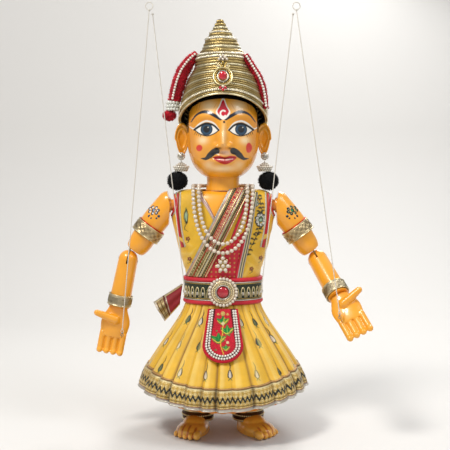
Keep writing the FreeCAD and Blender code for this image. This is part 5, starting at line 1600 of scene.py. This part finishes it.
def necklaces():
    """A pearl on each CAD pearl, knots of thread between them, and the pearl drop."""
    form = Form(PEARL)
    spots = solids("pearl_necklaces")
    for spot in spots:
        shade = shaded(PEARL, chance.uniform(0.9, 1.05))
        form.ball(spot, 2.8 * chance.uniform(0.97, 1.02), (1, 1, 0.97), 18, shade)
    for spot in spots:
        gaps = np.linalg.norm(spots - spot, axis=1)
        for other in spots[(gaps > 0.1) & (gaps < 6.4)]:
            if tuple(other) > tuple(spot):
                form.tube([spot, other], 0.35, 6, paint=tone("d8cfba"), slot=1)
    form.make("necklace_pearls", [PEARLS, COTTON], "torso", ["pearl_necklaces"])

    drop = Form(PEARL)
    spots = solids("necklace_pendant")
    centre = spots.mean(0)
    for spot in spots:
        drop.ball(spot, 2.7, segments=18, paint=PEARL)
        leaf_way = spot - centre
        leaf_way[1] = 0
        leaf_way /= max(np.linalg.norm(leaf_way), 1)
        drop.ball(spot + leaf_way * 2.4 + [0, 1.2, 0], 1.9, (1, 0.5, 1), 10, PALE_GOLD, slot=1)
    drop.ball(centre + [0, 1.6, 0], 5.0, (1, 0.3, 1.5), 20, GOLD, slot=1)
    top = spots[spots[:, 2].argmax()]
    drop.ring(top + [0, 0.2, 3.4], (0, 1, 0), 1.7, 0.5, 18, 6, paint=GOLD, slot=1)
    return drop.make("necklace_drop", [PEARLS, GILT], "torso", ["necklace_pendant"])


# ---- Limbs ---------------------------------------------------------------------------------------
JOINTS = {joint["name"]: joint for joint in frame["record"]["behaviour"]["joints"]}


def pivot(name):
    """Where a joint turns."""
    return np.array(JOINTS[name]["pos_m"]) / MM - MIDDLE


def band(form, centre, axis, radius, bore, tall, kind):
    """A pressed metal band round a limb, with rolled edges and a stamped middle."""
    x, y = plane(axis)
    z = np.asarray(axis, float) / np.linalg.norm(axis)
    count = 240
    around = circle(count)
    rim = np.outer(np.cos(around), x) + np.outer(np.sin(around), y)
    rows, paint = [], []
    for share in np.linspace(-0.5, 0.5, 40):
        off = abs(share)
        edge = 0.9 * math.exp(-(((off - 0.45) / 0.05) ** 2)) + 0.5 * math.exp(-(((off - 0.33) / 0.03) ** 2))
        inside = float(smooth(0.30 - off, 0.0, 0.05))
        if kind == "stamped":
            stamp = 0.5 + 0.5 * np.cos(14 * around) * math.cos(share * 14)
            stamp = stamp + 0.35 * np.cos(42 * around) * math.cos(share * 40)
        elif kind == "coiled":
            stamp = 0.5 + 0.5 * np.cos(60 * around + share * 30)
        else:
            stamp = 0.4 + 0.3 * np.cos(40 * around) * math.cos(share * 30)
        r = radius - 1.1 + edge + 0.8 * inside * np.clip(stamp, 0, 1.2)
        rows.append(np.asarray(centre) + z * share * tall + rim * r[:, None])
        shade = np.tile(form.colour, (count, 1))
        # painted shade: darker in the stamped hollows
        lay(shade, 0.65 * inside * (1 - np.clip(stamp, 0, 1)), form.colour * [0.25, 0.2, 0.14, 1])
        if edge > 0.5:
            lay(shade, np.full(count, 0.7), PALE_GOLD)
        paint.append(shade)
    for share in (0.48, -0.48):
        rows.append(np.asarray(centre) + z * share * tall + rim * bore)
        # painted shade: the inside of the band is the metal at half brightness
        paint.append(np.tile(shaded(form.colour, 0.5), (count, 1)))
    form.grid(rows, around=True, along=True, paint=np.array(paint))


def bands(side):
    """The armlet, the bracelet and the anklet of one side."""
    shoulder, elbow = pivot(f"{side}_shoulder_lift"), pivot(f"{side}_elbow_bend")
    armlet = Form(tone("cdb78c", 0.85))
    way = shoulder - elbow
    band(armlet, middle(f"{side}_armlet"), way, 21.0, 18.8, 16.5, "stamped")
    armlet.ring(middle(f"{side}_armlet") + way / np.linalg.norm(way) * 8.6, way, 18.9, 0.8, 64, 8,
                paint=RED * [1, 1, 1, 0])
    armlet.make(f"{side}_armlet_band", GILT, f"{side}_upper_arm", [f"{side}_armlet"])

    centre = middle(f"{side}_bracelet")
    bracelet = Form(tone("c6b898", 0.85))
    band(bracelet, centre, elbow - centre, 16.8, 14.6, 15.0, "coiled")
    bracelet.make(f"{side}_bracelet_band", GILT, f"{side}_forearm", [f"{side}_bracelet"])

    centre = middle(f"{side}_anklet") - [0, 0, 1.5]
    anklet = Form(tone("4a2c10", 0.5))
    band(anklet, centre, (0, 0, 1), 22.0, 16.4, 16.0, "plain")
    anklet.beads(centre, 21.6, 52, 1.15, segments=8, paint=tone("ead9a6", 0.6))
    for z in (-6.2, 6.2):
        anklet.ring(centre + [0, 0, z], (0, 0, 1), 21.2, 0.8, 72, 8, paint=PALE_GOLD)
    return anklet.make(f"{side}_anklet_band", GILT, f"{side}_lower_leg", [f"{side}_anklet"])


def carved(name, node, body, balls, painter):
    """A softened copy of a carved CAD solid, with rounded shapes melted into it, painted by a function."""
    rough = Form()
    mesh = NODES[node].data
    rough.add(corners(mesh), [tuple(p.vertices) for p in mesh.polygons])
    for centre, radius, stretch, turn in balls:
        rough.ball(centre, radius, stretch, 20, turn=turn)
    draft = rough.make(name + "_draft", WOOD, body)
    remesh = draft.modifiers.new("one_skin", "REMESH")
    remesh.mode, remesh.voxel_size = "VOXEL", 0.75 * MM
    soften = draft.modifiers.new("soften", "SMOOTH")
    soften.factor, soften.iterations = 0.5, 9
    done = bpy.data.meshes.new_from_object(draft.evaluated_get(bpy.context.evaluated_depsgraph_get()))
    smooth_points = corners(done)
    smooth_points[:, 2] = np.maximum(smooth_points[:, 2], 0.0)
    faces = [tuple(p.vertices) for p in done.polygons]
    bpy.data.objects.remove(draft)
    form = Form()
    form.add(smooth_points, faces, painter(smooth_points))
    return form.make(name, WOOD, body, [node])


def hand(side):
    """The open hand, softened from its CAD carving, with painted light making it a little paler towards the
    fingertips.
    """

    def painter(points):
        paint = np.tile(SKIN, (len(points), 1))
        # painted light: paler towards the fingertips
        lay(paint, 0.35 * smooth(-points[:, 2], -low(node)[2] - 26, -low(node)[2]), tone("f6b843"))
        return paint

    node = f"{side}_hand"
    return carved(f"{side}_hand_carving", node, f"{side}_forearm", [], painter)


def lower_leg(side):
    """The shin and the foot with five toes."""
    s = SIDES[side]
    sole = np.array(MOUNTS[f"{side}_sole"]) / MM - MIDDLE
    out = math.radians({"right": 20.0, "left": 36.0}[side]) * s
    ahead = np.array([math.sin(out), -math.cos(out), 0])
    sideways = np.array([math.cos(out), math.sin(out), 0])
    turn = np.stack([ahead, sideways, np.array([0, 0, 1.0])], -1)
    balls = [(sole + ahead * 12 + [0, 0, 8.0], 20.5, (1.3, 1.0, 0.50), turn),
             (sole + ahead * 2 + [0, 0, 15.0], 16.0, (1.2, 0.95, 0.6), turn)]
    for number in range(5):
        across = s * (number - 2) * 8.0
        reach = 35.0 - 1.0 * (number - 1.2) ** 2
        size = (6.2, 5.2, 4.9, 4.6, 4.4)[number]
        balls.append((sole + ahead * reach + sideways * across + [0, 0, size], size, (1.5, 0.80, 0.95), turn))

    def painter(points):
        paint = np.tile(SKIN, (len(points), 1))
        forward, across = (points - sole) @ ahead, (points - sole) @ sideways * s
        # painted light: paler over the foot
        lay(paint, 0.45 * smooth(-points[:, 2], -34, -8), tone("fbc55c"))
        # painted shade: dark lines in the gaps between the toes
        for gap in (-12, -4, 4, 12):
            crease = (1 - smooth(np.abs(across - gap), 0.7, 1.9)) * smooth(forward, 23, 28)
            lay(paint, 0.75 * crease, tone("b5481a"))
        return paint

    return carved(f"{side}_leg_carving", f"{side}_lower_leg", f"{side}_lower_leg", balls, painter)


MOUNTS = {mount["name"]: mount["pos_m"] for mount in frame["record"]["mounts"]}


def arm_flower(side):
    """A painted flower on the front of the upper arm."""
    form = Form()
    s = SIDES[side]
    centre = np.array([s * 92.0, 299.0])

    def petal(x, z, size, colour, lift):
        hit = cast(f"{side}_upper_arm", (x, -100, z), (0, 1, 0))
        if hit is not None:
            form.ball(hit - [0, lift, 0], size, (1, 0.22, 1), 12, colour)

    dark = tone("22304a") if side == "right" else BLACK
    for turn in circle(7):
        way = np.array([1.1 * math.cos(turn), 0.8 * math.sin(turn)])
        petal(*(centre + 5.4 * way), 2.6, dark, 0.0)
        petal(*(centre + 5.0 * way), 1.5, WHITE if side == "right" else tone("8a8f5a"), 0.35)
    petal(*centre, 3.0, dark, 0.2)
    petal(*centre, 1.8, LEAF if side == "left" else tone("8fa0b8"), 0.6)
    for lean in (-1, 1):
        petal(centre[0] + lean * 6.5, centre[1] - 7.5, 1.9, dark, 0.0)
        petal(centre[0] + lean * 3.5, centre[1] - 10.2, 1.3, dark, 0.0)
    return form.make(f"{side}_arm_flower", WOOD, f"{side}_upper_arm", [])


stage()
dress_cad()
head()
crown()
medallion()
ear_studs()
vest()
vest_trims()
sash()
sash_tail()
belt()
buckle()
skirt()
petticoat()
front_panel()
necklaces()
for side in SIDES:
    garland(side)
    earring(side)
    bands(side)
    hand(side)
    lower_leg(side)
    arm_flower(side)
